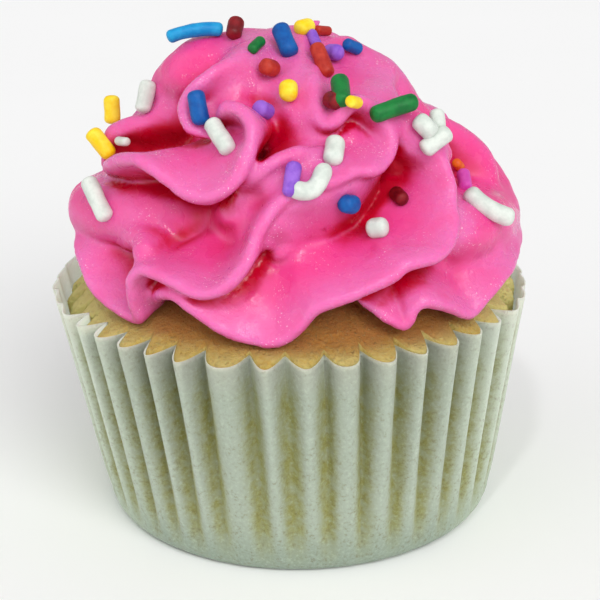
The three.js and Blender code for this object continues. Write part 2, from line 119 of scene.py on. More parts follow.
def ring_faces(rings, columns):
    """Quads between neighbouring rings, and a fan to a centre point at either end.
    The points are the rings in order, then the first centre, then the last."""
    ring, column = np.meshgrid(np.arange(rings - 1), np.arange(columns), indexing="ij")
    after = (column + 1) % columns
    quads = np.stack([
        ring * columns + column,
        ring * columns + after,
        (ring + 1) * columns + after,
        (ring + 1) * columns + column,
    ], axis=-1).reshape(-1, 4).tolist()
    first, last = rings * columns, rings * columns + 1
    top = (rings - 1) * columns
    fans = [[first, (i + 1) % columns, i] for i in range(columns)]
    fans += [[last, top + i, top + (i + 1) % columns] for i in range(columns)]
    return quads + fans


def on_cylinder(azimuth, height, radius):
    """Points from azimuth in radians, height and radius."""
    azimuth, height, radius = np.broadcast_arrays(azimuth, height, radius)
    return np.stack([radius * np.sin(azimuth), -radius * np.cos(azimuth), height], axis=-1)


def smoothstep(low, high, value):
    """0 at low and 1 at high, with a soft rise between them and level beyond."""
    share = np.clip((value - low) / (high - low), 0, 1)
    return share * share * (3 - 2 * share)


def mix(a, b, share):
    return a + (b - a) * share


def from_corners(base, share, value_at):
    """Values between those at the eight corners of each point's cell, by its share of
    the way across the cell."""
    total = np.zeros(len(base))
    for corner in np.ndindex(2, 2, 2):
        weight = np.prod(np.where(corner, share, 1 - share), axis=-1)
        total += weight * value_at((base + corner).T)
    return total


NOISE_CELLS = 48


def lumps(points, size, seed):
    """Smooth noise from -1 to 1 at each point, with lumps of a size in millimetres."""
    table = np.random.default_rng(seed).uniform(-1, 1, (NOISE_CELLS,) * 3)
    cell = np.asarray(points, float) / size
    base = np.floor(cell).astype(int)
    share = smoothstep(0, 1, cell - base)
    return from_corners(base, share, lambda place: table[tuple(place % NOISE_CELLS)])


def uneven(points, *layers):
    """Lumps of several (depth, size, seed), added up."""
    return sum(depth * lumps(points, size, seed) for depth, size, seed in layers)


# ---- Material nodes ----


class Material:
    """A material with one Principled shader, and short calls for the nodes that feed it."""

    def __init__(self, name, sockets):
        self.material = bpy.data.materials.new(name)
        self.material.use_nodes = True
        self.tree = self.material.node_tree
        self.shader = self.tree.nodes["Principled BSDF"]
        for title, value in sockets.items():
            self.shader.inputs[title].default_value = value
        own = self.node("ShaderNodeTexCoord", output="Object")
        # The object's own coordinates in millimetres.
        self.where = self.node("ShaderNodeMapping", {"Vector": own, "Scale": (1 / MM,) * 3})

    def node(self, kind, inputs=(), output=0, **settings):
        """An output of a new node with the settings, fed by the inputs."""
        made = self.tree.nodes.new(kind)
        for title, value in settings.items():
            setattr(made, title, value)
        for title, value in dict(inputs).items():
            self.feed(made.inputs[title], value)
        return made.outputs[output]

    def feed(self, socket, value):
        if isinstance(value, bpy.types.NodeSocket):
            self.tree.links.new(value, socket)
        else:
            socket.default_value = value

    def attributes(self, names):
        """The values that the mesh holds for its points, by names with spaces between."""
        return [self.node("ShaderNodeAttribute", output="Fac", attribute_name=name)
                for name in names.split()]

    def noise(self, size, detail=2.0, roughness=0.5, where=None):
        """Noise from 0 to 1 with lumps of a size in millimetres."""
        where = where or self.where
        return self.node("ShaderNodeTexNoise", {
            "Vector": where, "Scale": 1 / size, "Detail": detail, "Roughness": roughness})

    def math(self, operation, a, b):
        return self.node("ShaderNodeMath", {0: a, 1: b}, operation=operation)

    def times(self, a, b):
        return self.math("MULTIPLY", a, b)

    def ramp(self, value, low, high, to_low=0.0, to_high=1.0):
        """A value from low to high, turned into to_low to to_high with soft ends."""
        return self.node("ShaderNodeMapRange", {
            "Value": value, "From Min": low, "From Max": high, "To Min": to_low, "To Max": to_high,
        }, interpolation_type="SMOOTHSTEP")

    def blend(self, share, a, b, kind="MIX"):
        sockets = {"Factor": share, "A": a, "B": b}
        return self.node("ShaderNodeMix", sockets, "Result", data_type="RGBA", blend_type=kind)

    def colour(self, ground, *coats):
        """A ground colour with coats of (share, colour) or (share, colour, kind) over it."""
        for share, *coat in coats:
            ground = self.blend(share, ground, *coat)
        self.feed(self.shader.inputs["Base Color"], ground)

    def roughness(self, value):
        self.feed(self.shader.inputs["Roughness"], value)

    def relief(self, *layers):
        """Bump from (height, depth in millimetres) layers."""
        normal = None
        for height, depth in layers:
            inputs = {"Height": height, "Strength": 1.0, "Distance": depth * MM}
            if normal is not None:
                inputs["Normal"] = normal
            normal = self.node("ShaderNodeBump", inputs)
        self.feed(self.shader.inputs["Normal"], normal)


def translucent(weight, radius, scale=0.5):
    """Settings that let light spread under a surface, by a radius in metres for red,
    green and blue."""
    return {"Subsurface Weight": weight, "Subsurface Radius": radius, "Subsurface Scale": scale}


def srgb(red, green, blue):
    """A colour from 8-bit screen values, as the linear one that the shader takes."""
    def linear(part):
        part /= 255
        return part / 12.92 if part <= 0.04045 else ((part + 0.055) / 1.055) ** 2.4
    return (linear(red), linear(green), linear(blue), 1.0)


# ---- Stage ----

FLOOR_SIZE = 4000
FLOOR_SHADES = ((0.95, 0.95, 0.95, 1), (0.97, 0.97, 0.97, 1))
FLOOR_PATCH = 60
WORLD_STRENGTH = 0.52
# Soft suns: where each one shines from in degrees, how wide it is, and how strong.
SUNS = {
    "key": dict(azimuth=24, elevation=36, width=36, strength=1.65),
    "fill": dict(azimuth=-66, elevation=20, width=60, strength=0.48),
    "glint": dict(azimuth=-14, elevation=50, width=4, strength=0.4),
}


def make_stage():
    half = FLOOR_SIZE / 2
    pale = Material("floor_pale", {"Roughness": 0.9})
    pale.colour(pale.blend(pale.noise(FLOOR_PATCH), *FLOOR_SHADES))
    corners = [(-half, -half, 0), (half, -half, 0), (half, half, 0), (-half, half, 0)]
    floor = new_piece("floor", corners, [[0, 1, 2, 3]], pale.material)


def make_sun(name, azimuth, elevation, width, strength):
    """A sun that shines from an azimuth and an elevation."""
    data = bpy.data.lights.new(name, "SUN")
    data.energy = strength
    data.angle = math.radians(width)
    light = bpy.data.objects.new(name, data)
    bpy.context.scene.collection.objects.link(light)
    turn, climb = math.radians(azimuth), math.radians(elevation)
    level = math.cos(climb)
    towards = Vector((math.sin(turn) * level, -math.cos(turn) * level, math.sin(climb)))
    light.rotation_euler = towards.to_track_quat("Z", "Y").to_euler()


def make_lights():
    world = bpy.data.worlds.new("studio")
    bpy.context.scene.world = world
    world.use_nodes = True
    background = world.node_tree.nodes["Background"]
    background.inputs["Color"].default_value = (1, 1, 1, 1)
    background.inputs["Strength"].default_value = WORLD_STRENGTH
    for name, sun in SUNS.items():
        make_sun(name, **sun)
    bpy.context.scene.view_settings.view_transform = "Standard"


# ---- Flutes of the paper case, which the sponge has too ----

FLUTES = 40
COLUMNS_PER_FLUTE = 16
BASE_RADIUS = 26
FOOT_RADIUS = 28.3
FOOT_HEIGHT = 3
RIM_RADIUS = 32.2
RIM_HEIGHT = 33.4
RIM_FLUTE_DEPTH = 3.7
FOOT_FLUTE_DEPTH = 0.05
RIM_LEAN = 1.2
RIM_DIP = 0.5  # how much lower the rim is on the outer folds
FOLD_ROUNDING = 0.012
OUTER_BREADTH = 0.62  # the lower, the broader the outer folds are at the rim
FOLD_LEAN = 0.05  # how far a fold leans over at most, in widths of a flute
UNEVEN_DEPTH = 0.13  # how much deeper or shallower a flute is than the others
SIDES = (0.87, 0.94)  # the folds open out as the sine of the azimuth goes from one to the other
SIDE_SHALLOWS = (0.3, 0.85)  # how much of their depth they lose there, low down and at the rim
PAPER = 0.22
FOOT_RINGS = 8
WALL_RINGS = 40
# Azimuths of the inner folds that show at the front. The others are nearly even.
FRONT_FOLDS = (-62.9, -54.4, -45.3, -37.3, -29.6, -21.2, -9.9, -1.1, 8.4, 17.4, 26.8, 35.2,
               44.4, 52.9, 62.1)


def flute_columns():
    """For each column round the case: its azimuth, its place from 0 to 1 in its flute,
    and the number of the flute."""
    hidden = FLUTES - len(FRONT_FOLDS)
    gap = (360 - FRONT_FOLDS[-1] + FRONT_FOLDS[0]) / (hidden + 1)
    shift = np.random.default_rng(4).uniform(-0.9, 0.9, hidden)
    behind = [FRONT_FOLDS[-1] + gap * (i + 1) + shift[i] for i in range(hidden)]
    folds = np.radians([*FRONT_FOLDS, *behind, FRONT_FOLDS[0] + 360])
    share = np.arange(COLUMNS_PER_FLUTE) / COLUMNS_PER_FLUTE
    azimuth = folds[:-1, None] + np.diff(folds)[:, None] * share
    flute = np.repeat(np.arange(FLUTES), COLUMNS_PER_FLUTE)
    return azimuth.ravel(), np.tile(share, FLUTES), flute


AZIMUTH, PHASE, FLUTE = flute_columns()
COLUMNS = len(AZIMUTH)
# From -1 to 1 for each column: how its flute leans, and how deep it is.
LEANS, DEPTHS = np.random.default_rng(11).uniform(-1, 1, (2, FLUTES))[:, FLUTE]
SIDEWAYS = np.abs(np.sin(AZIMUTH))
SIDE_SHARE = smoothstep(*SIDES, SIDEWAYS)


def flute_wave(height):
    """From -1 on an inner fold to 1 on an outer one. The outer folds are broad at the rim."""
    lean = FOLD_LEAN * LEANS * np.sin(2 * np.pi * PHASE)
    swing = np.sin(np.pi * (PHASE + lean))
    rounded = np.sqrt((swing ** 2 + FOLD_ROUNDING) / (1 + FOLD_ROUNDING))
    breadth = mix(1.0, OUTER_BREADTH, smoothstep(0.55, 1, height / RIM_HEIGHT))
    lowest = np.sqrt(FOLD_ROUNDING / (1 + FOLD_ROUNDING)) ** breadth
    return 2 * (rounded ** breadth - lowest) / (1 - lowest) - 1


def case_radius(height):
    """The radius of the case halfway between its inner and its outer folds."""
    wall = mix(FOOT_RADIUS, RIM_RADIUS, (height - FOOT_HEIGHT) / (RIM_HEIGHT - FOOT_HEIGHT))
    curl = 1 - np.clip(height / FOOT_HEIGHT, 0, 1)
    foot = BASE_RADIUS + (FOOT_RADIUS - BASE_RADIUS) * np.sqrt(1 - curl ** 2)
    return np.where(height > FOOT_HEIGHT, wall, foot)


def flute_depth(height):
    """How deep the flutes are at a height, for each column."""
    climb = np.maximum(0, height) / RIM_HEIGHT
    depth = mix(FOOT_FLUTE_DEPTH, RIM_FLUTE_DEPTH, climb ** 0.8 * smoothstep(0.0, 0.2, climb))
    return depth * (1 + UNEVEN_DEPTH * DEPTHS)


def case_ring(height, inset=0.0, lift=0.0, opened=1.0):
    """The outside of the case at a height, moved in by inset and up by lift. Its folds
    open out at the far left and right, unless opened is 0."""
    wave = flute_wave(height)
    climb = height / RIM_HEIGHT
    shallow = opened * SIDE_SHARE * mix(*SIDE_SHALLOWS, smoothstep(0.5, 0.95, climb))
    radius = case_radius(height) + flute_depth(height) / 2 * mix(wave, 1, shallow) - inset
    dip = RIM_DIP * smoothstep(0.8, 1, climb) * (wave + 1) / 2
    ring = on_cylinder(AZIMUTH, height + lift - dip, radius)
    ring[:, 0] -= RIM_LEAN * climb
    return ring


# ---- Paper case ----

PAPER_PALE = srgb(175, 189, 170)
PAPER_RIM = srgb(180, 188, 168)
# Painted light: the inside of the case is paler, as if lit through the paper.
PAPER_INSIDE_LIT = srgb(226, 255, 216)
PAPER_GREASE = srgb(152, 150, 78)
PAPER_FOOT = srgb(147, 162, 146)
PAPER_SPECK = srgb(118, 104, 62)
# The colour of pale fibres, and of the painted light at the far left and right.
PAPER_FIBRE_AND_LIT_SIDE = srgb(226, 248, 214)
LIT_PAPER_SIDES = (0.65, 0.95)  # as SIDES, but for the painted light that makes the paper paler at the far left and right


def paper_material():
    paper = Material("paper", {"Specular IOR Level": 0.3, **translucent(0.9, (0.003,) * 3)})
    fold, rise, inner, dry = paper.attributes("fold rise inner dry")
    fibres = paper.noise(0.5, 4, 0.7)
    blotches = paper.noise(1.6, 4, 0.65)
    above = paper.ramp(rise, 0.0, 0.26)
    below = paper.ramp(rise, 1.03, 0.77)
    soaked = paper.times(paper.ramp(fold, -0.1, 0.75), paper.times(above, below))
    patchy = paper.times(soaked, paper.ramp(blotches, 0.3, 0.65, 0.5, 0.95))
    stained = paper.times(paper.ramp(fibres, 0.5, 0.66), paper.ramp(blotches, 0.4, 0.6, 0.25, 1.0))
    paper.colour(
        PAPER_PALE,
        (paper.ramp(rise, 0.8, 1.0), PAPER_RIM),
        (paper.ramp(rise, 0.3, 0.0), PAPER_FOOT),
        # Painted light: the paper is paler at the far left and right.
        (paper.times(dry, paper.ramp(rise, 0.1, 0.9, 0.3, 0.95)), PAPER_FIBRE_AND_LIT_SIDE),
        (patchy, PAPER_GREASE),
        (paper.times(stained, paper.ramp(rise, 1.0, 0.1, 0.25, 0.5)), PAPER_SPECK),
        (paper.ramp(fibres, 0.48, 0.3, 0.0, 0.18), PAPER_FIBRE_AND_LIT_SIDE),
        # Painted light on the inside of the case, as if lit through the paper.
        (paper.times(inner, 0.9), PAPER_INSIDE_LIT),
    )
    paper.roughness(paper.ramp(patchy, 0.0, 1.0, 0.78, 0.5))
    paper.relief((blotches, 0.12), (fibres, 0.06))
    return paper.material


def paper_rings():
    """Rings up the outside, over the rim and down the inside, and how high each is."""
    foot = FOOT_HEIGHT * (1 - np.cos(np.linspace(0, np.pi / 2, FOOT_RINGS)))
    wall = np.linspace(FOOT_HEIGHT, RIM_HEIGHT, WALL_RINGS)[1:]
    heights = [*foot, *wall]
    outside = [case_ring(height) for height in heights]
    inside = [case_ring(height, PAPER, PAPER if height == 0 else 0) for height in heights][::-1]
    return outside + inside, heights + heights[::-1]


def make_paper_case():
    rings, heights = paper_rings()
    flat = [0.5 * (1 - flute_wave(height)) for height in heights]
    rise = [np.full(COLUMNS, height / RIM_HEIGHT) for height in heights]
    # Painted light, paler towards the far left and right.
    dry = smoothstep(*LIT_PAPER_SIDES, SIDEWAYS)
    centres = [[0, 0, 0], [0, 0, PAPER]]
    points = np.concatenate([*rings, centres])
    side = len(rings) // 2 * COLUMNS
    attributes = {
        "fold": np.concatenate([*flat, [0, 0]]),
        "rise": np.concatenate([*rise, [0, 0]]),
        "inner": np.repeat([0, 1, 0, 1], [side, side, 1, 1]),
        "dry": np.concatenate([np.tile(dry, len(rings)), [0, 0]]),
    }
    faces = ring_faces(len(rings), COLUMNS)
    case = new_piece("paper_case_folds", points, faces, paper_material(), attributes)
    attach(case, "root")
    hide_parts("paper_case")


# ---- Sponge ----

CAKE_FLOOR = 0.5
CAKE_INSET = 0.3
SIDE_GAP = 1.1  # how much further in the sponge stays at the far left and right
CAKE_SHOULDER = 0.45  # how far the sponge rounds off at the paper
# The dome of the sponge, as (radius, height).
DOME = ((0, 41.5), (8, 41.1), (14, 40.4), (20, 39.2), (24, 37.9), (27, 36.2), (29, 34.9),
        (30.5, 34.1), (32, 33.6), (34, 33.2), (37, 32.8))
DOME_TOP = DOME[0][1]
DOME_SOFTENING = (-0.8, -0.4, 0, 0.4, 0.8)  # heights this far away are averaged
# How much lower the sponge is at these sides of the case, and the share of the way
# towards each at which it starts to sag, and at which it has sagged.
EDGE_SAGS = {"left": (2.2, 0.72, 0.97), "right": (1.3, 0.78, 0.98), "back": (0.8, 0.1, 0.7)}
SAG_RADIUS = 34
SAG_POWER = 8  # the sag sets in late on the way out
EDGE_BELOW_RIM = 1  # where the sponge's width at the case is taken
# Where the sponge has a ring of points: shares of the way up its side, and shares of the
# way in from its edge.
SIDE_RINGS = (0, 0.03, 0.09, 0.3, 0.6, 0.85, 0.95, 1)
TOP_RINGS = np.linspace(0.008, 0.97, 80)
CRUMB = 0.22
CRUMB_LAYERS = ((0.5, 1.3, 21), (0.5, 0.7, 22), (1, 4, 23))
PORE = 1.1
FROSTING_SHADE_RADII = (33.6, 28.8)  # radii between which painted shade under the frosting sets in on the way in
SPONGE_LIT_SIDES = (0.72, 0.95)  # as SIDES, but for the painted light that makes the sponge paler at the far left and right
SPONGE_LIT_MOST = 0.8

CAKE_GOLD = srgb(198, 166, 84)
CAKE_PALE = srgb(208, 194, 126)
# Painted shade, under the frosting and in the pores.
CAKE_SHADE_BROWN = srgb(162, 86, 26)
CAKE_SPECK = srgb(226, 212, 144)
# Painted light at the far left and right of the sponge.
CAKE_SIDE_LIGHT = srgb(240, 232, 152)


def edge_sag(azimuth):
    """How much lower the sponge is at the case, away from the front."""
    towards = {"left": -np.sin(azimuth), "right": np.sin(azimuth), "back": -np.cos(azimuth)}
    return sum(depth * smoothstep(low, high, towards[side])
               for side, (depth, low, high) in EDGE_SAGS.items())


def dome_height(radius):
    """How high the top of the sponge is at a radius."""
    distances, heights = zip(*DOME)
    near = (np.interp(radius + step, distances, heights) for step in DOME_SOFTENING)
    return sum(near) / len(DOME_SOFTENING)


def cake_rings():
    """Rings of points up the side of the sponge and inwards over its top."""
    inset = CAKE_INSET + SIDE_GAP * SIDE_SHARE
    rim = case_ring(np.full(COLUMNS, RIM_HEIGHT - EDGE_BELOW_RIM), inset, opened=0)
    top = dome_height(np.hypot(rim[:, 0], rim[:, 1])) - edge_sag(AZIMUTH) - CAKE_SHOULDER
    rings = []
    for share in SIDE_RINGS:
        inwards = mix(CAKE_INSET, inset, share)
        rings.append(case_ring(top * share, inwards, CAKE_FLOOR * (1 - share), opened=0))
    edge = rings[-1]
    edge[:, 2] = top
    brim = np.hypot(edge[:, 0], edge[:, 1])
    for share in TOP_RINGS:
        radius = brim * (1 - share)
        ring = on_cylinder(np.arctan2(edge[:, 0], -edge[:, 1]), 0, radius)
        surface = dome_height(radius) - edge_sag(AZIMUTH) * (radius / SAG_RADIUS) ** SAG_POWER
        ring[:, 2] = surface - CAKE_SHOULDER * (1 - smoothstep(-0.01, 0.03, share))
        rings.append(ring)
    return rings


def cake_material():
    cake = Material("sponge", {
        "Roughness": 0.85, "Specular IOR Level": 0.25, **translucent(0.15, (0.004, 0.002, 0.001)),
    })
    shelter, edge = cake.attributes("shelter edge")
    crumb = cake.noise(0.6, 4, 0.7)
    specks = cake.ramp(cake.noise(0.4, 3, 0.8), 0.56, 0.68)
    patches = cake.noise(4.5, 3)
    pores = cake.node("ShaderNodeTexVoronoi", {"Vector": cake.where, "Scale": 1 / PORE}, "Distance")
    holes = cake.ramp(pores, 0.2, 0.05)
    shaded = cake.math("ADD", shelter, cake.ramp(patches, 0.3, 0.7, -0.15, 0.15))
    cake.colour(
        CAKE_GOLD,
        (cake.ramp(patches, 0.35, 0.65, 0.0, 0.6), CAKE_PALE),
        (cake.ramp(crumb, 0.35, 0.7, 0.0, 0.5), CAKE_PALE),
        # Painted shade in the pores.
        (cake.times(holes, 0.15), CAKE_SHADE_BROWN),
        # Painted light: the sponge is paler at the far left and right.
        (edge, CAKE_SIDE_LIGHT),
        # Painted shade under the frosting, with random patches.
        (cake.ramp(shaded, 0.0, 1.15, 0.0, 0.78), CAKE_SHADE_BROWN),
        (cake.times(specks, 0.3), CAKE_SPECK),
    )
    cake.relief((crumb, 0.55), (specks, 0.1), (holes, -0.1))
    return cake.material


def make_cake():
    rings = cake_rings()
    points = np.concatenate([*rings, [[0, 0, CAKE_FLOOR], [0, 0, DOME_TOP]]])
    radius = np.hypot(points[:, 0], points[:, 1])
    on_top = np.arange(len(points)) >= len(SIDE_RINGS) * COLUMNS
    top = smoothstep(28, 31, points[:, 2]) * on_top
    points[:, 2] += top * CRUMB * uneven(points, *CRUMB_LAYERS)
    side = np.abs(points[:, 0]) / np.maximum(radius, 1)
    # Painted shade where the frosting hangs over, less at the far left and right.
    shelter = top * smoothstep(*FROSTING_SHADE_RADII, radius) * mix(0.3, 1, smoothstep(0.9, 0.55, side))
    # Painted light towards the far left and right.
    edge = SPONGE_LIT_MOST * smoothstep(*SPONGE_LIT_SIDES, side)
    faces = ring_faces(len(rings), COLUMNS)
    attributes = {"shelter": shelter, "edge": edge}
    cake = new_piece("cake_crumb", points, faces, cake_material(), attributes)
    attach(cake, "root")
    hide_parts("cake")


# ---- Frosting: the piped ridges ----
# Each ridge is a blade of frosting. Its crest runs through knots of (azimuth in
# degrees, height, radius). From the crest the blade runs inwards by its depth and
# climbs on the way. Several values of depth or climb are spread evenly along the crest.
# The form is half the thickness at the tip and at the root, and how softly the blade
# joins the frosting round it. An inset draws the crest back towards the root.

Ridge = namedtuple("Ridge", "depth climb form knots inset", defaults=[0.0])
Form = namedtuple("Form", "tip root blend")
THIN = Form(0.85, 2.2, 1.2)
CURLED = Form(1.0, 2.2, 1.2)
SOFT = Form(1.6, 3.2, 1.6)
ROUND = Form(4.4, 6.0, 3.0)

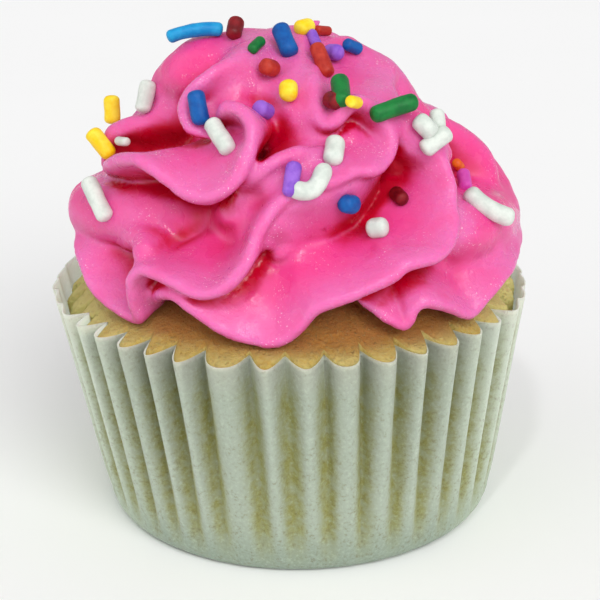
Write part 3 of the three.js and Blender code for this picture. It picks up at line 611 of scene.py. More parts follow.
RIDGES = {
    "lower wave": Ridge(11, (5, 5, 5, 4, 2, 1, 1, 2, 4, 5, 5), THIN, inset=0.5, knots=[
        (-90, 42.3, 29.2), (-76, 41.4, 31.6), (-66, 39.9, 32.3), (-59, 37.3, 32.1),
        (-51, 35.9, 31.5), (-43.5, 35.4, 31.2), (-42.6, 38.3, 32.4), (-42, 41.5, 33),
        (-39.3, 43.4, 32.7), (-35, 43.5, 32.6), (-29, 42.9, 33), (-22.5, 41.9, 33.2),
        (-17, 42.9, 32.8), (-12.2, 46, 31.5), (-9.8, 49.6, 29.5), (-6.5, 52, 28),
        (-2.5, 53.8, 27.3), (3.5, 54.7, 27), (10.5, 55.2, 26.5), (17.5, 55.6, 25), (24, 55.4, 22.8),
        (30, 55.3, 21), (36, 55.2, 19.2)]),
    "front petal": Ridge(
        (10, 10, 9, 8, 8, 9, 10, 10, 11, 11, 9), (6, 7, 7.5, 7.5, 7, 3.5, 1.5, 2, 1, -2, -3), THIN,
        inset=0.6, knots=[
        (-42, 37.3, 29), (-36, 39.8, 31), (-30, 40.4, 32), (-25, 39, 32.3), (-19.5, 37.1, 32),
        (-13, 35.4, 31.4), (-5, 35.1, 31), (0, 37.2, 31), (4.5, 40, 31.5), (13, 42, 32.3),
        (21, 43.8, 32.8), (25, 45.2, 33), (32, 45.4, 33), (37.5, 46.2, 32.3), (41, 48, 31.2),
        (43.7, 50.4, 29.6), (46.8, 53, 28), (48.3, 55.3, 26), (46.5, 56.7, 24), (42, 57, 22)]),
    "right wave": Ridge(11, (8, 8, 7, 6, 5, 5, 5, 5), THIN, [
        (14, 41, 27), (19.5, 38.9, 29.5), (22.5, 37.7, 31), (26, 36.7, 31.4), (27.6, 38.7, 31.7),
        (30.3, 39.6, 32), (35, 38.8, 32), (40, 37.2, 31.9), (45.5, 35.8, 31.8), (50, 37.3, 32.1),
        (56.5, 38.9, 32.3), (64, 39.6, 32.1), (73, 40.2, 31.2), (83, 40, 30.9), (93, 39, 30.9),
        (103, 37.3, 31), (108, 36, 31.3), (112, 38.5, 31.8), (118, 42, 32.4), (127, 44, 32.5),
        (136, 42, 32), (144, 39.5, 31.8)]),
    "right band": Ridge(8, 1, ROUND, [
        (42, 46, 24), (50, 45.6, 26), (60, 45, 26.8), (72, 44, 27), (84, 43, 26.9), (94, 43, 27),
        (104, 44.5, 27), (112, 47, 25.5)]),
    "right lobe": Ridge(12, -1, Form(2.4, 5, 1.0), [
        (64, 59.2, 14.4), (71, 57.8, 16.5), (77, 56, 18.4), (82, 54.8, 20.6), (85, 53.4, 22.7),
        (86.5, 51.4, 24.7), (86, 49, 25.9), (84, 46.5, 26.4), (80, 44.6, 26.6)]),
    "left lobe": Ridge(10, 1, Form(4.6, 7, 1.0), [
        (-106, 42.5, 28), (-97, 43.3, 28), (-88, 44.2, 28), (-79, 45.2, 27.6), (-69, 46.1, 26.2),
        (-58, 46.8, 23.8), (-47, 47, 21), (-37, 47, 19)]),
    "left hump": Ridge(4, 0, Form(1.7, 2.6, 1.4), [
        (-41, 42.3, 31), (-42, 44.4, 29.8), (-45.5, 45.4, 28.2), (-51, 45.3, 27.4),
        (-58, 43.6, 27.2)]),
    "left shelf": Ridge(9, 1, SOFT, [
        (-80, 58, 17), (-84, 56.9, 20), (-87, 56, 22.8), (-90, 54.9, 25), (-92, 53.2, 26),
        (-94, 51, 26.2), (-100, 49.5, 26.2)]),
    "upper wave": Ridge(9, (-3, -3, -3, -2, 0, 2, 4, 3, 0, -4, -5), CURLED, [
        (-82, 51, 25.9), (-72, 52.4, 26.8), (-62, 54.1, 28), (-54, 55.8, 28.2), (-46, 56.5, 28.2),
        (-40.5, 55.9, 28.2), (-36, 54.7, 28), (-31, 53.5, 27.8), (-25.5, 53.1, 27.6),
        (-20.5, 54.1, 27.5), (-17, 55.6, 27), (-14.8, 57.6, 26), (-13.4, 59.8, 24.8),
        (-13.7, 61.7, 23.6), (-16.5, 63, 22.5), (-20.2, 63.6, 21.8), (-24.5, 63.4, 21.2),
        (-28, 62.2, 20.7), (-30, 60.8, 20.3)]),
    "left curl": Ridge(8, (0, -1, -2, -3, -3, -3, -1, 1, 2), CURLED, [
        (-50, 68, 5), (-37, 67.8, 8.6), (-33, 67.8, 12), (-33.5, 67.5, 15.5), (-36, 66.8, 17.8),
        (-39, 65.7, 19.5), (-41.8, 64.1, 20.9), (-42.8, 62.5, 21.5), (-41.6, 61.2, 21.8),
        (-39, 60.2, 21.9), (-35.5, 59.7, 21.8), (-31, 59.4, 21.5)]),
    "right curl": Ridge(8, (0, -1, -1, -2, -3, -2, 0, 2, 3), CURLED, [
        (13, 66.4, 11.5), (9.5, 65.3, 14), (8, 63.6, 16.4), (8.8, 62, 18.4), (11.3, 61, 19.8),
        (14.4, 61.6, 20.2), (18.3, 63, 20), (22.2, 63.6, 19.8), (26.4, 63.3, 20), (30.4, 62, 20.6),
        (33, 60.4, 21.2), (33.4, 58.6, 22), (30.8, 57, 22.8), (26.5, 56, 23.8), (22, 55.8, 24.6),
        (17, 56, 24.8)]),
    "middle sheet": Ridge(3.2, -7, Form(1.5, 2.4, 0.6), [
        (-9, 48, 27.4), (-6, 50.4, 26.2), (-2.5, 52.2, 25.6), (3.5, 53.2, 25.3), (10.5, 53.8, 24.8),
        (17.5, 54.2, 23.4), (24, 54, 21.3), (30, 53.8, 19.4), (36, 53.2, 17.2)]),
    "inner fold": Ridge(6, 0, Form(2, 3, 1), [
        (-14, 52.8, 23), (-9, 54.2, 23.4), (-2, 55.2, 23.2), (5, 56, 22.4), (12, 56.8, 21.2)]),
    "inner rim": Ridge(5, -3, Form(1.1, 2.4, 1), [
        (-18, 52.8, 23.8), (-15, 54.8, 24.6), (-10.2, 56.6, 24.8), (-6.4, 57.6, 24.4),
        (-3.5, 58, 24), (2, 58.2, 22.8), (7.8, 58, 21.6)]),
    "cave filling": Ridge(4, 0, Form(2.6, 3.6, 2.5), [
        (-28, 48.4, 21), (-21, 49.4, 22), (-15, 50, 22.6), (-9, 50, 22.6)]),
    "curl filling": Ridge(5, -2, Form(1.8, 4, 3), [
        (4, 64.8, 11.4), (2, 63, 13.6), (3, 60.8, 15.8), (9, 58.8, 16.4), (16, 58.2, 16),
        (24, 58, 15.6), (29, 57, 16)]),
    "peak fold": Ridge(5, 0, Form(1.2, 2.5, 1.6), [
        (30, 69.4, 1.5), (8, 68.6, 5), (2, 67, 8.5), (-2, 65, 11.5), (-4, 63, 13.5)]),
    "curl sheet": Ridge(5, -2, Form(3.8, 5, 3), [
        (-42, 65.5, 6.2), (-40, 65, 9), (-38, 64, 12), (-37, 62, 14), (-37, 60, 15)]),
    "front sheet": Ridge(5, 0, Form(3, 5, 3), [
        (-2, 64, 9), (-3, 61.5, 12), (0, 59.4, 13), (5, 57.8, 13.8), (12, 56.8, 14.6)]),
    "crown left": Ridge(9, -2, ROUND, [
        (-95, 65.6, 4), (-86, 64.6, 8.4), (-85, 63.8, 12.4), (-88, 62.9, 14), (-93, 61.5, 15),
        (-97, 59.7, 16.3), (-102, 58, 18)]),
    "crown right": Ridge(9, -2, ROUND, [
        (60, 65.3, 3.8), (70, 64, 6.5), (74, 62.4, 9.3), (74, 60.8, 11.4), (76, 58.4, 12.6),
        (82, 56, 13.8), (90, 54, 15.5)]),
    "right edge": Ridge(5, -2, Form(1.1, 2.6, 1.4), [
        (78, 64.6, 12.8), (66, 64.3, 13.6), (54, 63.4, 14.8), (44, 62.6, 16), (36, 61.8, 17)]),
    "right shoulder": Ridge(7, 0, Form(2.6, 4.5, 3), [
        (20, 62.8, 11.5), (32, 61.5, 14), (38, 60.6, 16.8), (44, 59.2, 19.4), (49, 57.4, 21.8),
        (54, 55.2, 23.5)]),
    "back wave low": Ridge(11, 5, THIN, [
        (-96, 41, 30.8), (-104, 38, 31.2), (-110, 36, 31.2), (-113, 38.5, 31.9), (-117, 42, 32.6),
        (-124, 44, 32.6), (-132, 42, 32.2), (-140, 39, 31.6), (-147, 36.5, 31.2), (-153, 35.5, 31),
        (-157, 38, 31.6), (-162, 42, 32.2), (-169, 44.5, 32.2), (-177, 43, 32.2), (-186, 40, 31.8),
        (-193, 37, 31.3), (-199, 36, 31.2), (-203, 38.5, 31.8), (-208, 42.5, 32.2),
        (-215, 45, 32)]),
    "back wave middle": Ridge(10, 3, THIN, [
        (-93, 50, 27.2), (-102, 51.5, 27.8), (-112, 52.8, 26.6), (-122, 54, 26.6),
        (-131, 52.5, 28.3), (-140, 49.5, 29.4), (-149, 49, 29.5), (-158, 51.5, 28.8),
        (-166, 55, 27.2), (-176, 56.5, 26.5), (-186, 54.5, 27.4), (-196, 51, 28.6),
        (-205, 49.5, 29.4), (-214, 50.5, 29), (-224, 52.8, 27.4), (-234, 53, 26),
        (-242, 51.5, 25.8)]),
    "back wave high": Ridge(8, 2, THIN, [
        (-100, 59, 21.5), (-110, 58.3, 23), (-120, 59.8, 22.4), (-130, 62.5, 21),
        (-141, 63.5, 20.5), (-151, 61, 22), (-160, 59, 23.3), (-170, 59.5, 23), (-180, 62, 21.5),
        (-190, 64, 19.5), (-201, 63, 19.5), (-211, 60.5, 20.5), (-221, 58.8, 21), (-231, 58.8, 20),
        (-242, 58.8, 18)]),
    "back crown": Ridge(7, 0, THIN, [
        (-115, 66, 12.5), (-130, 66, 13.5), (-145, 65.5, 15), (-160, 65.5, 14.5),
        (-175, 66.3, 12.4), (-190, 66.5, 11), (-205, 65.6, 12.3), (-220, 63.6, 14),
        (-235, 62.6, 14), (-250, 62.8, 12.2)]),
    "crown filling": Ridge(5, 0, Form(2.2, 3.4, 2), [
        (-98, 64.6, 8.5), (-108, 64.6, 9.8), (-118, 64.6, 10.8), (-128, 64.6, 11.4)]),
    "spike": Ridge(1, -1.5, Form(1.0, 1.5, 1.2), [
        (50, 68.4, 1.4), (65, 69.6, 2.1), (80, 70.5, 3.1)]),
}

# ---- Frosting: its shape ----

# The core that the blades grow from, as (height, radius).
CORE = ((33, 22), (42, 21), (46, 19), (52, 16.5), (58, 13.5), (62, 11), (66, 7), (68.5, 1.5))
CORE_SLOPE = 0.8  # turns distances across the core into distances to its slanted side

CURVE_POINTS = 400
CREST_STEP = 0.5  # between points along a crest
CREST_FEWEST = 12
ROOT_SMOOTHING = 7.0  # length over which a ridge's waves are evened out at its root
ROOT_SHARE = 0.28  # limits a root's thickness where the frosting is narrow
ROOT_REACH = 0.85  # a blade never runs further in than this share of its radius
THICKENING = 0.85  # how late the blade thickens on its way in
THIN_TIPS = (1.0, 2.6)  # the first has a full band of painted light on its crest, and the second has none
BALL_SPACING = 0.33  # on the way in, in radii of a ball
BALL_STRIDE = 0.3  # along the crest, in radii of a ball
END_TAPER = 3.0  # length over which a ridge's ends thin out
END_SHARE = 0.25  # a ridge ends at the square root of this share of its thickness

VOXEL = 0.42
GRID_LOW = np.array([-37.0, -37.0, 31.0])
GRID_HIGH = np.array([37.0, 37.0, 74.0])
SEAT_SINK = 0.3  # how far the frosting sinks into the crumb
SKIN_LAYERS = ((0.16, 3.4, 31), (0.09, 1.5, 32))
SKIN_REACH = 1.2  # the skin is made uneven this far off the surface


def run_along(points):
    """How far along the line through the points each of them is."""
    return np.concatenate([[0], np.cumsum(np.linalg.norm(np.diff(points, axis=0), axis=1))])


def smooth_curve(knots, count):
    """A Catmull-Rom curve through the knots, at even shares of their chord length."""
    knots = np.asarray(knots, float)
    padded = np.vstack([2 * knots[0] - knots[1], knots, 2 * knots[-1] - knots[-2]])
    run = run_along(knots)
    along = np.linspace(0, run[-1], count)
    span = np.minimum(np.searchsorted(run, along, side="right") - 1, len(knots) - 2)
    t = ((along - run[span]) / (run[span + 1] - run[span]))[:, None]
    a, b, c, d = (padded[span + i] for i in range(4))
    square = 2 * a - 5 * b + 4 * c - d
    cube = 3 * b - a - 3 * c + d
    return 0.5 * (2 * b + (c - a) * t + square * t ** 2 + cube * t ** 3)


def evenly_spaced(points, step):
    """Points about a step apart on the line through the points."""
    run = run_along(points)
    along = np.linspace(0, run[-1], max(CREST_FEWEST, int(run[-1] / step)))
    return np.stack([np.interp(along, run, points[:, axis]) for axis in range(3)], axis=-1)


def without_waves(points, reach):
    """The points of a line, each averaged with those up to about reach places away."""
    place = np.arange(len(points))
    weight = np.exp(-0.5 * ((place[:, None] - place) / reach) ** 2)
    return weight @ points / weight.sum(axis=1)[:, None]


def spread(values, count):
    """One value, or several spread evenly, as one for each of count places."""
    values = np.atleast_1d(values)
    return np.interp(np.linspace(0, 1, count), np.linspace(0, 1, len(values)), values)


def blade_balls(depth, climb, form, knots, inset):
    """Balls that fill a blade: centres, radii, and for each one its distance along the
    crest, its distance in from it, and how thin the blade is."""
    azimuth, height, radius = np.array(knots, float).T
    places = on_cylinder(np.radians(azimuth), height, radius)
    crest = evenly_spaced(smooth_curve(places, CURVE_POINTS), CREST_STEP)
    root = without_waves(crest, ROOT_SMOOTHING / CREST_STEP)
    span = np.hypot(root[:, 0], root[:, 1])
    root[:, :2] *= (1 - np.minimum(spread(depth, len(root)), span * ROOT_REACH) / span)[:, None]
    root[:, 2] += spread(climb, len(root))
    spine = root - crest
    length = np.linalg.norm(spine, axis=1).mean()
    crest = crest + spine * inset / length
    spine = root - crest
    thick = np.minimum(form.root, ROOT_SHARE * np.hypot(crest[:, 0], crest[:, 1]) + form.tip)
    along = np.arange(len(crest)) * CREST_STEP
    taper = np.sqrt(np.clip(np.minimum(along, along[::-1]) / END_TAPER, END_SHARE, 1))
    thinness = np.full((len(crest), 1), 1 - smoothstep(*THIN_TIPS, form.tip))
    layers, share = [], 0.0
    while share < 1:
        width = form.tip + (thick - form.tip) * share ** THICKENING
        step = BALL_SPACING * width.min() / length
        if share < 0.5:
            width = width * taper
        stride = max(1, int(BALL_STRIDE * width.min() / CREST_STEP))
        inward = np.full((len(crest), 1), share * length)
        balls = [crest + spine * share, width[:, None], along[:, None], inward, thinness]
        layers.append(np.hstack(balls)[::stride])
        share += step
    table = np.vstack(layers)
    return table[:, :3], table[:, 3], table[:, 4:]


def add_balls(field, centres, radii, margin):
    """Lowers a field of distances to those of the nearest ball, up to a margin away."""
    for centre, radius in zip(centres, radii):
        reach = radius + margin
        low = np.maximum(np.floor((centre - reach - GRID_LOW) / VOXEL).astype(int), 0)
        high = np.minimum(np.ceil((centre + reach - GRID_LOW) / VOXEL).astype(int) + 1, field.shape)
        if (high <= low).any():
            continue
        x, y, z = ((GRID_LOW[k] + VOXEL * np.arange(low[k], high[k]) - centre[k]) ** 2
                   for k in range(3))
        away = np.sqrt(x[:, None, None] + y[None, :, None] + z[None, None, :]).astype(np.float32)
        away -= np.float32(radius)
        part = field[low[0]:high[0], low[1]:high[1], low[2]:high[2]]
        np.minimum(part, away, out=part)


def soft_union(a, b, blend):
    """Two fields of distances joined, with a fillet about as wide as the blend."""
    share = np.clip(0.5 + 0.5 * (b - a) / blend, 0, 1)
    return b * (1 - share) + a * share - blend * share * (1 - share)


def grid_axes():
    """The places of the grid's points along each axis."""
    counts = np.ceil((GRID_HIGH - GRID_LOW) / VOXEL).astype(int)
    return [GRID_LOW[k] + VOXEL * np.arange(counts[k]) for k in range(3)]


def core_field():
    """Distances to the surface of the core."""
    x, y, z = grid_axes()
    radius = np.sqrt(x[:, None] ** 2 + y[None, :] ** 2)
    heights, radii = zip(*CORE)
    away = (radius[:, :, None] - np.interp(z, heights, radii)[None, None, :]) * CORE_SLOPE
    caps = np.maximum(z - heights[-1], heights[0] - z)
    return np.maximum(away, caps[None, None, :]).astype(np.float32)


def field_at(field, points):
    """The field between its grid points, by linear weights."""
    cell = np.clip((points - GRID_LOW) / VOXEL, 0, np.array(field.shape) - 1.001)
    base = cell.astype(int)
    return from_corners(base, cell - base, lambda place: field[tuple(place)])


def frosting_field():
    """Distances to the frosting's surface, and the balls that made it with their
    places along and in from the crests."""
    field = core_field()
    centres, places = [], []
    for ridge in RIDGES.values():
        balls, radii, place = blade_balls(*ridge)
        blend = ridge.form.blend
        blade = np.full(field.shape, blend + 1, np.float32)
        add_balls(blade, balls, radii, blend + 1)
        field = soft_union(field, blade, blend)
        centres.append(balls)
        places.append(place)
    roughen(field)
    x, y, z = grid_axes()
    seat = dome_height(np.sqrt(x[:, None] ** 2 + y[None, :] ** 2)) - SEAT_SINK
    field = np.maximum(field, (seat[:, :, None] - z[None, None, :]).astype(np.float32))
    return field, np.vstack(centres), np.vstack(places)


def roughen(field):
    """Makes the skin uneven, with soft lumps everywhere."""
    near = np.nonzero(np.abs(field) < SKIN_REACH)
    points = GRID_LOW + VOXEL * np.stack(near, axis=-1)
    field[near] += uneven(points, *SKIN_LAYERS).astype(np.float32)


def box_blur(field, reach):
    """The field averaged three times over a window, along each axis."""
    for axis in range(3):
        for _ in range(3):
            pad = [(reach + 1, reach) if k == axis else (0, 0) for k in range(3)]
            total = np.cumsum(np.pad(field, pad, mode="edge"), axis=axis, dtype=np.float64)
            upper = np.take(total, np.arange(2 * reach + 1, total.shape[axis]), axis=axis)
            lower = np.take(total, np.arange(total.shape[axis] - 2 * reach - 1), axis=axis)
            field = ((upper - lower) / (2 * reach + 1)).astype(np.float32)
    return field


# ---- Frosting: its looks ----

SKY_DIRECTIONS = 26
SKY_START = 0.6  # how far off the surface the sky is looked for
SKY_STEPS = (1.5, 2.6, 4.2, 6.5, 9.5, 13.5)
SKY_CONE = 0.32  # how wide a clear way has to be, in shares of its length


def openness(field, points, normals):
    """How much of the space over each point is free, from 0 in a deep fold to 1."""
    number = np.arange(SKY_DIRECTIONS) + 0.5
    tilt = np.arccos(1 - 2 * number / SKY_DIRECTIONS)
    turn = np.pi * (1 + 5 ** 0.5) * number
    level = np.sin(tilt)
    sky = np.stack([np.cos(turn) * level, np.sin(turn) * level, np.cos(tilt)], axis=-1)
    seen, total = np.zeros(len(points)), np.zeros(len(points))
    start = points + normals * SKY_START
    limit = np.array(field.shape) - 1
    for direction in sky:
        weight = np.maximum(normals @ direction, 0)
        free = np.ones(len(points))
        for step in SKY_STEPS:
            cell = np.rint((start + direction * step - GRID_LOW) / VOXEL)
            x, y, z = np.clip(cell, 0, limit).astype(int).T
            free = np.minimum(free, np.clip(0.5 + 0.5 * field[x, y, z] / (SKY_CONE * step), 0, 1))
        seen += weight * free
        total += weight
    return seen / total


FROSTING_PINK = srgb(234, 66, 144)
# Painted shade in folds and hollows.
FROSTING_FOLD_SHADE = srgb(200, 0, 44)
# Painted light along thin crests, as if lit through; also the tone of the faint streaks.
FROSTING_STREAK_AND_EDGE_GLOW = srgb(228, 118, 184)
# Painted shade on faces that point downwards.
FROSTING_UNDER_SHADE = srgb(228, 214, 212)
# Painted glints.
FROSTING_GLINT = srgb(255, 216, 236)
BAND_WIDTH = 6.5  # of the band of painted light along a thin crest
CREST_ROUNDS = 6  # of averaging over the mesh
CALM_ROUNDS = 7
CALM_STEP = 0.14  # how much calmer the next point may be
JUMP = (2.5, 1.2)  # a step between two ridges, and one along a ridge
NORMAL_STEP = 0.6
# Reaches, in voxels, of the averages that tell thin edges and hollows.
THIN_REACH = 3
HOLLOW_REACH = 6
HOLLOW_SHADE = 0.6


def frosting_material():
    icing = Material("frosting", {
        "Specular IOR Level": 0.45, **translucent(0.5, (0.004, 0.001, 0.002), 0.6),
    })
    fold, crest, under = icing.attributes("fold crest under")
    along, inward, calm = icing.attributes("along inward calm")
    piping = icing.node("ShaderNodeCombineXYZ", {
        "X": icing.times(along, 0.16), "Y": icing.times(inward, 1.6)})
    streaks = icing.times(icing.noise(1.0, 3, 0.6, piping), calm)
    grain = icing.noise(0.35, 2, 0.7)
    patches = icing.noise(4.0, 3)
    wet = icing.ramp(patches, 0.42, 0.62)
    # Painted glints: tiny pale specks, in patches away from the folds.
    glint_specks = icing.ramp(icing.noise(0.27, 1), 0.66, 0.72)
    glint_patches = icing.ramp(icing.noise(5.0, 2), 0.5, 0.62)
    glinting = icing.times(glint_patches, icing.ramp(fold, 0.6, 0.1, 0.0, 0.7))
    icing.colour(
        FROSTING_PINK,
        # Painted shade: deep crimson in folds and hollows.
        (icing.ramp(fold, 0.3, 0.9), FROSTING_FOLD_SHADE),
        # Painted light: thin crests paler and lilac, as if lit through.
        (icing.times(crest, icing.ramp(patches, 0.3, 0.6, 0.5, 0.8)), FROSTING_STREAK_AND_EDGE_GLOW),
        (icing.ramp(streaks, 0.35, 0.7, 0.0, 0.08), FROSTING_STREAK_AND_EDGE_GLOW),
        # Painted shade on faces that point downwards.
        (under, FROSTING_UNDER_SHADE, "MULTIPLY"),
        # Painted glints.
        (icing.times(glint_specks, glinting), FROSTING_GLINT),
    )
    icing.roughness(icing.ramp(wet, 0.0, 1.0, 0.45, 0.14))
    torn = icing.times(crest, icing.noise(0.7, 3, 0.7))
    icing.relief((streaks, 0.08), (grain, 0.035), (torn, 0.1), (patches, 0.16))
    return icing.material


def surface_of(field):
    """Points, faces and normals of the field's surface."""
    grid = openvdb.FloatGrid(float(field.max()))
    grid.copyFromArray(field)
    points, triangles, quads = grid.convertToPolygons(isovalue=0.0, adaptivity=0.02)
    points = points * VOXEL + GRID_LOW
    faces = triangles.tolist() + quads.tolist()
    slope = np.stack([
        field_at(field, points + offset) - field_at(field, points - offset)
        for offset in np.eye(3) * NORMAL_STEP
    ], axis=-1)
    return points, faces, slope / np.linalg.norm(slope, axis=1)[:, None]


def nearest_places(points, centres, places):
    """For each point the place of the nearest ball: along and in from its crest, and how
    thin its blade is."""
    tree = KDTree(len(centres))
    for number, centre in enumerate(centres):
        tree.insert(centre, number)
    tree.balance()
    nearest = [tree.find(point)[1] for point in points]
    return places[nearest]


def softened(values, edges, rounds):
    """Values averaged over each point's neighbours, several times."""
    point, neighbour = np.concatenate([edges, edges[:, ::-1]]).T
    for _ in range(rounds):
        values = np.bincount(point, values[neighbour]) / np.bincount(point)
    return values


def calmness(place, edges):
    """1 where the place along and in from the crest runs on evenly, 0 where it jumps
    from one ridge to the next."""
    jump = np.linalg.norm(place[edges[:, 0]] - place[edges[:, 1]], axis=1)
    calm = np.ones(len(place))
    for end in (0, 1):
        np.minimum.at(calm, edges[:, end], smoothstep(*JUMP, jump))
    for _ in range(CALM_ROUNDS):
        next_to = np.minimum(1, calm + CALM_STEP)
        for end in (0, 1):
            np.minimum.at(calm, edges[:, end], next_to[edges[:, 1 - end]])
    return calm


def make_frosting():
    field, centres, places = frosting_field()
    points, faces, normals = surface_of(field)
    open_sky = openness(field, points, normals)
    solid = (field < 0).astype(np.float32)
    thin = smoothstep(0.44, 0.2, field_at(box_blur(solid, THIN_REACH), points))
    hollow = smoothstep(0.58, 0.8, field_at(box_blur(solid, HOLLOW_REACH), points))
    place = nearest_places(points, centres, places)
    edges = np.array([[face[k - 1], face[k]] for face in faces for k in range(len(face))])
    band = smoothstep(BAND_WIDTH, 0, place[:, 1]) * place[:, 2]
    crest = softened(np.maximum(thin, band), edges, CREST_ROUNDS)
    bright = smoothstep(0.26, 0.74, open_sky) * (1 - HOLLOW_SHADE * hollow)
    attributes = {
        # Painted shade, from how little sky a point sees and how hollow it lies.
        "fold": 1 - bright,
        # Painted light along thin crests, only where the sky is open.
        "crest": crest * smoothstep(0.1, 0.7, bright),
        # Painted shade on faces that point downwards.
        "under": smoothstep(0.1, -0.6, normals[:, 2]),
        "calm": calmness(place[:, :2], edges),
        "along": place[:, 0],
        "inward": place[:, 1],
    }
    swirl = new_piece("frosting_swirl", points, faces, frosting_material(), attributes)
    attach(swirl, "root")
    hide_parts("frosting")
    return field


# ---- Sprinkles ----
# Sugar strands that lie on the frosting. Those at the front are given by a thickness in
# millimetres, and by the pixels of the photograph where their two ends show. A third
# pixel is the middle of a bent one. Those behind are scattered.

# The darker and the paler tone of each, from 0 to 255.
COLOURS = {
    "white": ((204, 212, 204), (224, 230, 222)),
    "yellow": ((252, 212, 16), (255, 232, 70)),
    "orange": ((226, 98, 20), (240, 132, 40)),
    "red": ((170, 34, 24), (196, 62, 44)),
    "maroon": ((104, 8, 18), (140, 14, 26)),
    "green": ((4, 104, 44), (20, 128, 56)),
    "blue": ((0, 74, 152), (6, 96, 174)),
    "light_blue": ((0, 136, 200), (30, 160, 214)),
    "purple": ((132, 78, 196), (158, 104, 214)),
    "magenta": ((206, 60, 170), (222, 90, 186)),
}

STRANDS = {
    "white": [
        (2.3, (149, 80), (142, 113)), (2.4, (210, 121), (230, 152)), (2.4, (87, 178), (107, 220)),
        (2.5, (416, 117), (435, 136)), (2.1, (436, 110), (439, 130)), (2.4, (450, 130), (422, 151)),
        (2.5, (467, 190), (514, 219), (488, 208)), (2.6, (336, 138), (332, 163)),
        (2.4, (289, 186), (325, 163), (313, 189)), (2.7, (367, 229), (388, 226)),
        (1.3, (117, 141), (128, 142)),
    ],
    "yellow": [
        (2.4, (111, 95), (113, 124)), (2.4, (90, 130), (112, 157)), (2.5, (288, 83), (289, 98)),
        (2.2, (297, 29), (312, 25)), (1.6, (349, 101), (359, 103)),
    ],
    "orange": [(1.3, (456, 162), (461, 168))],
    "red": [(2.2, (263, 66), (276, 69)), (2.1, (315, 44), (329, 76)), (1.4, (315, 30), (330, 31))],
    "maroon": [
        (2.2, (237, 18), (233, 38)), (2.3, (328, 99), (339, 102)), (1.9, (394, 191), (404, 201)),
    ],
    "green": [
        (1.5, (262, 40), (251, 50)), (2.4, (339, 78), (343, 104)), (2.4, (371, 116), (417, 100)),
    ],
    "blue": [
        (2.5, (279, 25), (291, 55)), (2.4, (195, 90), (202, 125)), (1.7, (345, 43), (360, 50)),
        (2.4, (342, 203), (356, 205)),
    ],
    "light_blue": [(1.9, (167, 38), (223, 30), (195, 30))],
    "purple": [
        (2.3, (257, 107), (270, 113)), (1.5, (310, 31), (318, 47)), (2.2, (326, 52), (341, 53)),
        (2.1, (295, 162), (289, 196)),
    ],
    "magenta": [(1.9, (463, 171), (466, 190))],
}

SCATTERED = 24
APART = 4.5  # between the middles of scattered strands
SCATTER_COLOURS = "white white yellow blue green purple red light_blue maroon".split()
SCATTER = {"azimuth": (108, 252), "height": (39, 66), "half": (2.3, 3.9), "thickness": (2.0, 2.4)}
SCATTER_RADIUS = 1.05
SCATTER_LONGEST = 8
SCATTER_SLOPE = 0.45  # of the lines along which they drop onto the frosting
SHORTEST, LONGEST = 3.0, 8.6
REST = 0.5  # how far an axis stays off the frosting, in its radius
TOUCH_GAP = 0.5  # a scattered strand drops until it is this far off the frosting
TOUCH_RUN = np.arange(180, 330, 0.25)  # distances at which a line is tried
LAY_REACH = 6.0
LAY_STEP = 0.35
SUNK_COST = 3
LENGTH_COST = 3
SLIDE_COST = 0.03  # keeps a strand from sliding behind a fold
COVER = 0.8  # frosting at least this deep hides a strand
COVER_GAP = 3  # and it is at least this far in front
STRAND_TOP = 1.3  # no strand reaches higher over its centre line
STRAND_SIDES = 18
CAP_LENGTH = 0.8  # of a strand's ends, in its radius
CAP_RINGS = 7
BODY_RINGS = 12
BLUNTNESS = 2.4  # of a strand's ends: 2 is round, more is blunter


def first_touch(start, direction, gap):
    """Where a line first comes within a gap of the frosting, or else passes nearest."""
    away = field_at(FROSTING_FIELD, start + direction * TOUCH_RUN[:, None])
    near = np.nonzero(away < gap)[0]
    return start + direction * TOUCH_RUN[near[0] if len(near) else np.argmin(away)]


def lay_strand(places, directions, radius, longest):
    """The two ends of a straight strand, each somewhere on its own line, so that the
    whole strand lies as close to the frosting's surface as it can."""
    steps = np.arange(-LAY_REACH, LAY_REACH, LAY_STEP)[:, None]
    first = (places[0] + directions[0] * steps)[:, None, None, :]
    last = (places[1] + directions[1] * steps)[None, :, None, :]
    points = first + (last - first) * np.linspace(0, 1, 9)[:, None]
    away = field_at(FROSTING_FIELD, points.reshape(-1, 3)).reshape(points.shape[:3]) - REST * radius
    length = np.linalg.norm(last - first, axis=-1)[:, :, 0]
    sunk = np.minimum(away, 0)
    cost = np.mean(away ** 2 + SUNK_COST * sunk ** 2, axis=-1)
    cost += LENGTH_COST * np.maximum(length - longest, 0) ** 2
    cost += LENGTH_COST * np.maximum(SHORTEST - length, 0) ** 2
    cost += SLIDE_COST * (steps ** 2 + steps[:, 0] ** 2)
    i, j = np.unravel_index(np.argmin(cost), cost.shape)
    return first[i, 0, 0], last[0, j, 0]


def seen_strand(thickness, first, last, middle=None):
    """The centre line of a strand that shows in the photograph."""
    radius = thickness / 2
    halfway = ((first[0] + last[0]) / 2, (first[1] + last[1]) / 2)
    start, forward = pixel_ray(halfway)
    depth = np.linalg.norm(first_touch(start, forward, REST * radius) - start)
    directions = [pixel_ray(first)[1], pixel_ray(last)[1]]
    ends = lay_strand([start + way * depth for way in directions], directions, radius, LONGEST)
    bend = np.zeros(3)
    if middle is not None:
        bend = depth * (pixel_ray(middle)[1] - pixel_ray(halfway)[1])
    return ends[0], (ends[0] + ends[1]) / 2 + bend, ends[1]


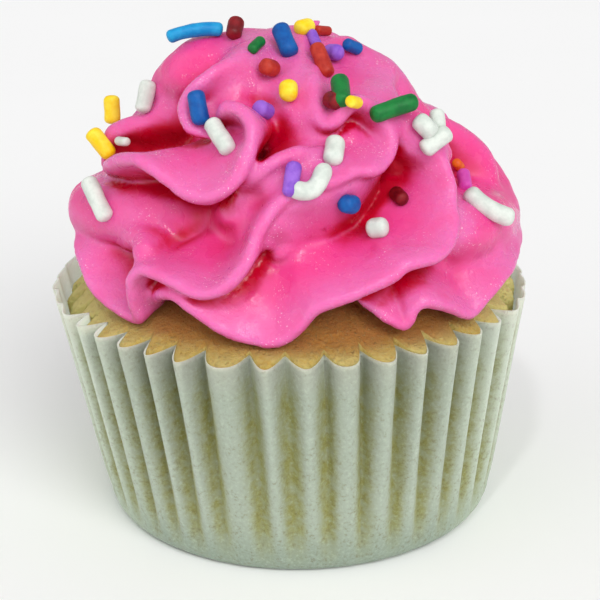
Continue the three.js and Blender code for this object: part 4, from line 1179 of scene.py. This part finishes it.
def scattered_strand(random):
    """The centre line of a strand somewhere on the side that the camera doesn't see."""
    azimuth = math.radians(random.uniform(*SCATTER["azimuth"]))
    height = random.uniform(*SCATTER["height"])
    outwards = on_cylinder(azimuth, SCATTER_SLOPE, 1.0)
    outwards /= np.linalg.norm(outwards)
    across = on_cylinder(azimuth + math.pi / 2, 0.0, 1.0)
    turn = random.uniform(0, math.pi)
    along = across * math.cos(turn) + np.cross(outwards, across) * math.sin(turn)
    start = np.array([0, 0, height]) + outwards * CAMERA_DISTANCE
    touch = first_touch(start, -outwards, TOUCH_GAP)
    half = along * random.uniform(*SCATTER["half"])
    ways = [-outwards, -outwards]
    ends = lay_strand([touch - half, touch + half], ways, SCATTER_RADIUS, SCATTER_LONGEST)
    bend = np.cross(outwards, along) * random.uniform(-0.5, 0.5)
    return ends[0], (ends[0] + ends[1]) / 2 + bend, ends[1]


def is_hidden(line):
    """Whether frosting stands between the camera and every part of a strand."""
    place = np.array(camera_axes()[0])
    for point in line:
        away = point + (0, 0, STRAND_TOP) - place
        depth = np.linalg.norm(away)
        touch = first_touch(place, away / depth, -COVER)
        too_near = np.linalg.norm(touch - place) > depth - COVER_GAP
        if too_near or field_at(FROSTING_FIELD, touch[None])[0] > 0:
            return False
    return True


def strand_mesh(thickness, line, seed):
    """Points and faces of one strand: a rod with blunt round ends, not quite even."""
    first, middle, last = (np.asarray(point) for point in line)
    radius = thickness / 2
    length = np.linalg.norm(last - first)
    cap = min(CAP_LENGTH * radius, length / 2)
    turn = np.linspace(0, np.pi / 2, CAP_RINGS)[1:]
    ends = cap * (1 - np.cos(turn))
    body = np.linspace(cap, length - cap, BODY_RINGS)[1:-1]
    run = np.concatenate([ends, body, (length - ends)[::-1]])
    from_end = np.clip(np.minimum(run, length - run) / cap, 0, 1)
    width = radius * (1 - (1 - from_end) ** BLUNTNESS) ** (1 / BLUNTNESS)
    share = (run / length)[:, None]
    pull = 2 * middle - (first + last) / 2
    centre = (1 - share) ** 2 * first + 2 * share * (1 - share) * pull + share ** 2 * last
    axis = np.gradient(centre, axis=0)
    axis /= np.linalg.norm(axis, axis=1)[:, None]
    side = np.cross(axis, (0, 0, 1) if abs(axis[:, 2]).mean() < 0.7 else (1, 0, 0))
    side /= np.linalg.norm(side, axis=1)[:, None]
    other = np.cross(axis, side)
    angle = np.arange(STRAND_SIDES)[:, None] * 2 * np.pi / STRAND_SIDES
    spoke = np.cos(angle) * side[:, None] + np.sin(angle) * other[:, None]
    points = (centre[:, None] + width[:, None, None] * spoke).reshape(-1, 3)
    points = np.vstack([points, first, last])
    core = np.vstack([np.repeat(centre, STRAND_SIDES, axis=0), first, last])
    swell = uneven(points, (0.07, 1.9, seed), (0.03, 0.7, seed + 1))
    return points + (points - core) * swell[:, None], ring_faces(len(run), STRAND_SIDES)


def sprinkle_material(name):
    dark, pale = (srgb(*tone) for tone in COLOURS[name])
    soft = translucent(0.12, (0.0012,) * 3)
    sugar = Material("sugar_" + name, {"Specular IOR Level": 0.3, **soft})
    patches = sugar.noise(1.6, 3, 0.6)
    grain = sugar.noise(0.18, 3, 0.7)
    sugar.colour(dark, (sugar.ramp(patches, 0.35, 0.65), pale),
                 (sugar.ramp(grain, 0.4, 0.75, 0.0, 0.25), dark))
    sugar.roughness(sugar.ramp(patches, 0.3, 0.7, 0.34, 0.55))
    sugar.relief((grain, 0.04), (patches, 0.06))
    return sugar.material


def make_sprinkles():
    lines = {name: [(strand[0], seen_strand(*strand)) for strand in strands]
             for name, strands in STRANDS.items()}
    random = np.random.default_rng(17)
    middles = []
    while len(middles) < SCATTERED:
        line = scattered_strand(random)
        if is_hidden(line) and all(np.linalg.norm(line[1] - other) > APART for other in middles):
            name = SCATTER_COLOURS[len(middles) % len(SCATTER_COLOURS)]
            lines[name].append((random.uniform(*SCATTER["thickness"]), line))
            middles.append(line[1])
    for name, strands in lines.items():
        points, faces, count = [], [], 0
        for number, (thickness, line) in enumerate(strands):
            some, patch = strand_mesh(thickness, line, 50 + 2 * number)
            points.append(some)
            faces += [[corner + count for corner in face] for face in patch]
            count += len(some)
        mesh = np.vstack(points), faces
        sprinkles = new_piece("sprinkles_" + name, *mesh, sprinkle_material(name))
        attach(sprinkles, "root")


make_camera()
make_stage()
make_lights()
make_paper_case()
make_cake()
FROSTING_FIELD = make_frosting()
make_sprinkles()
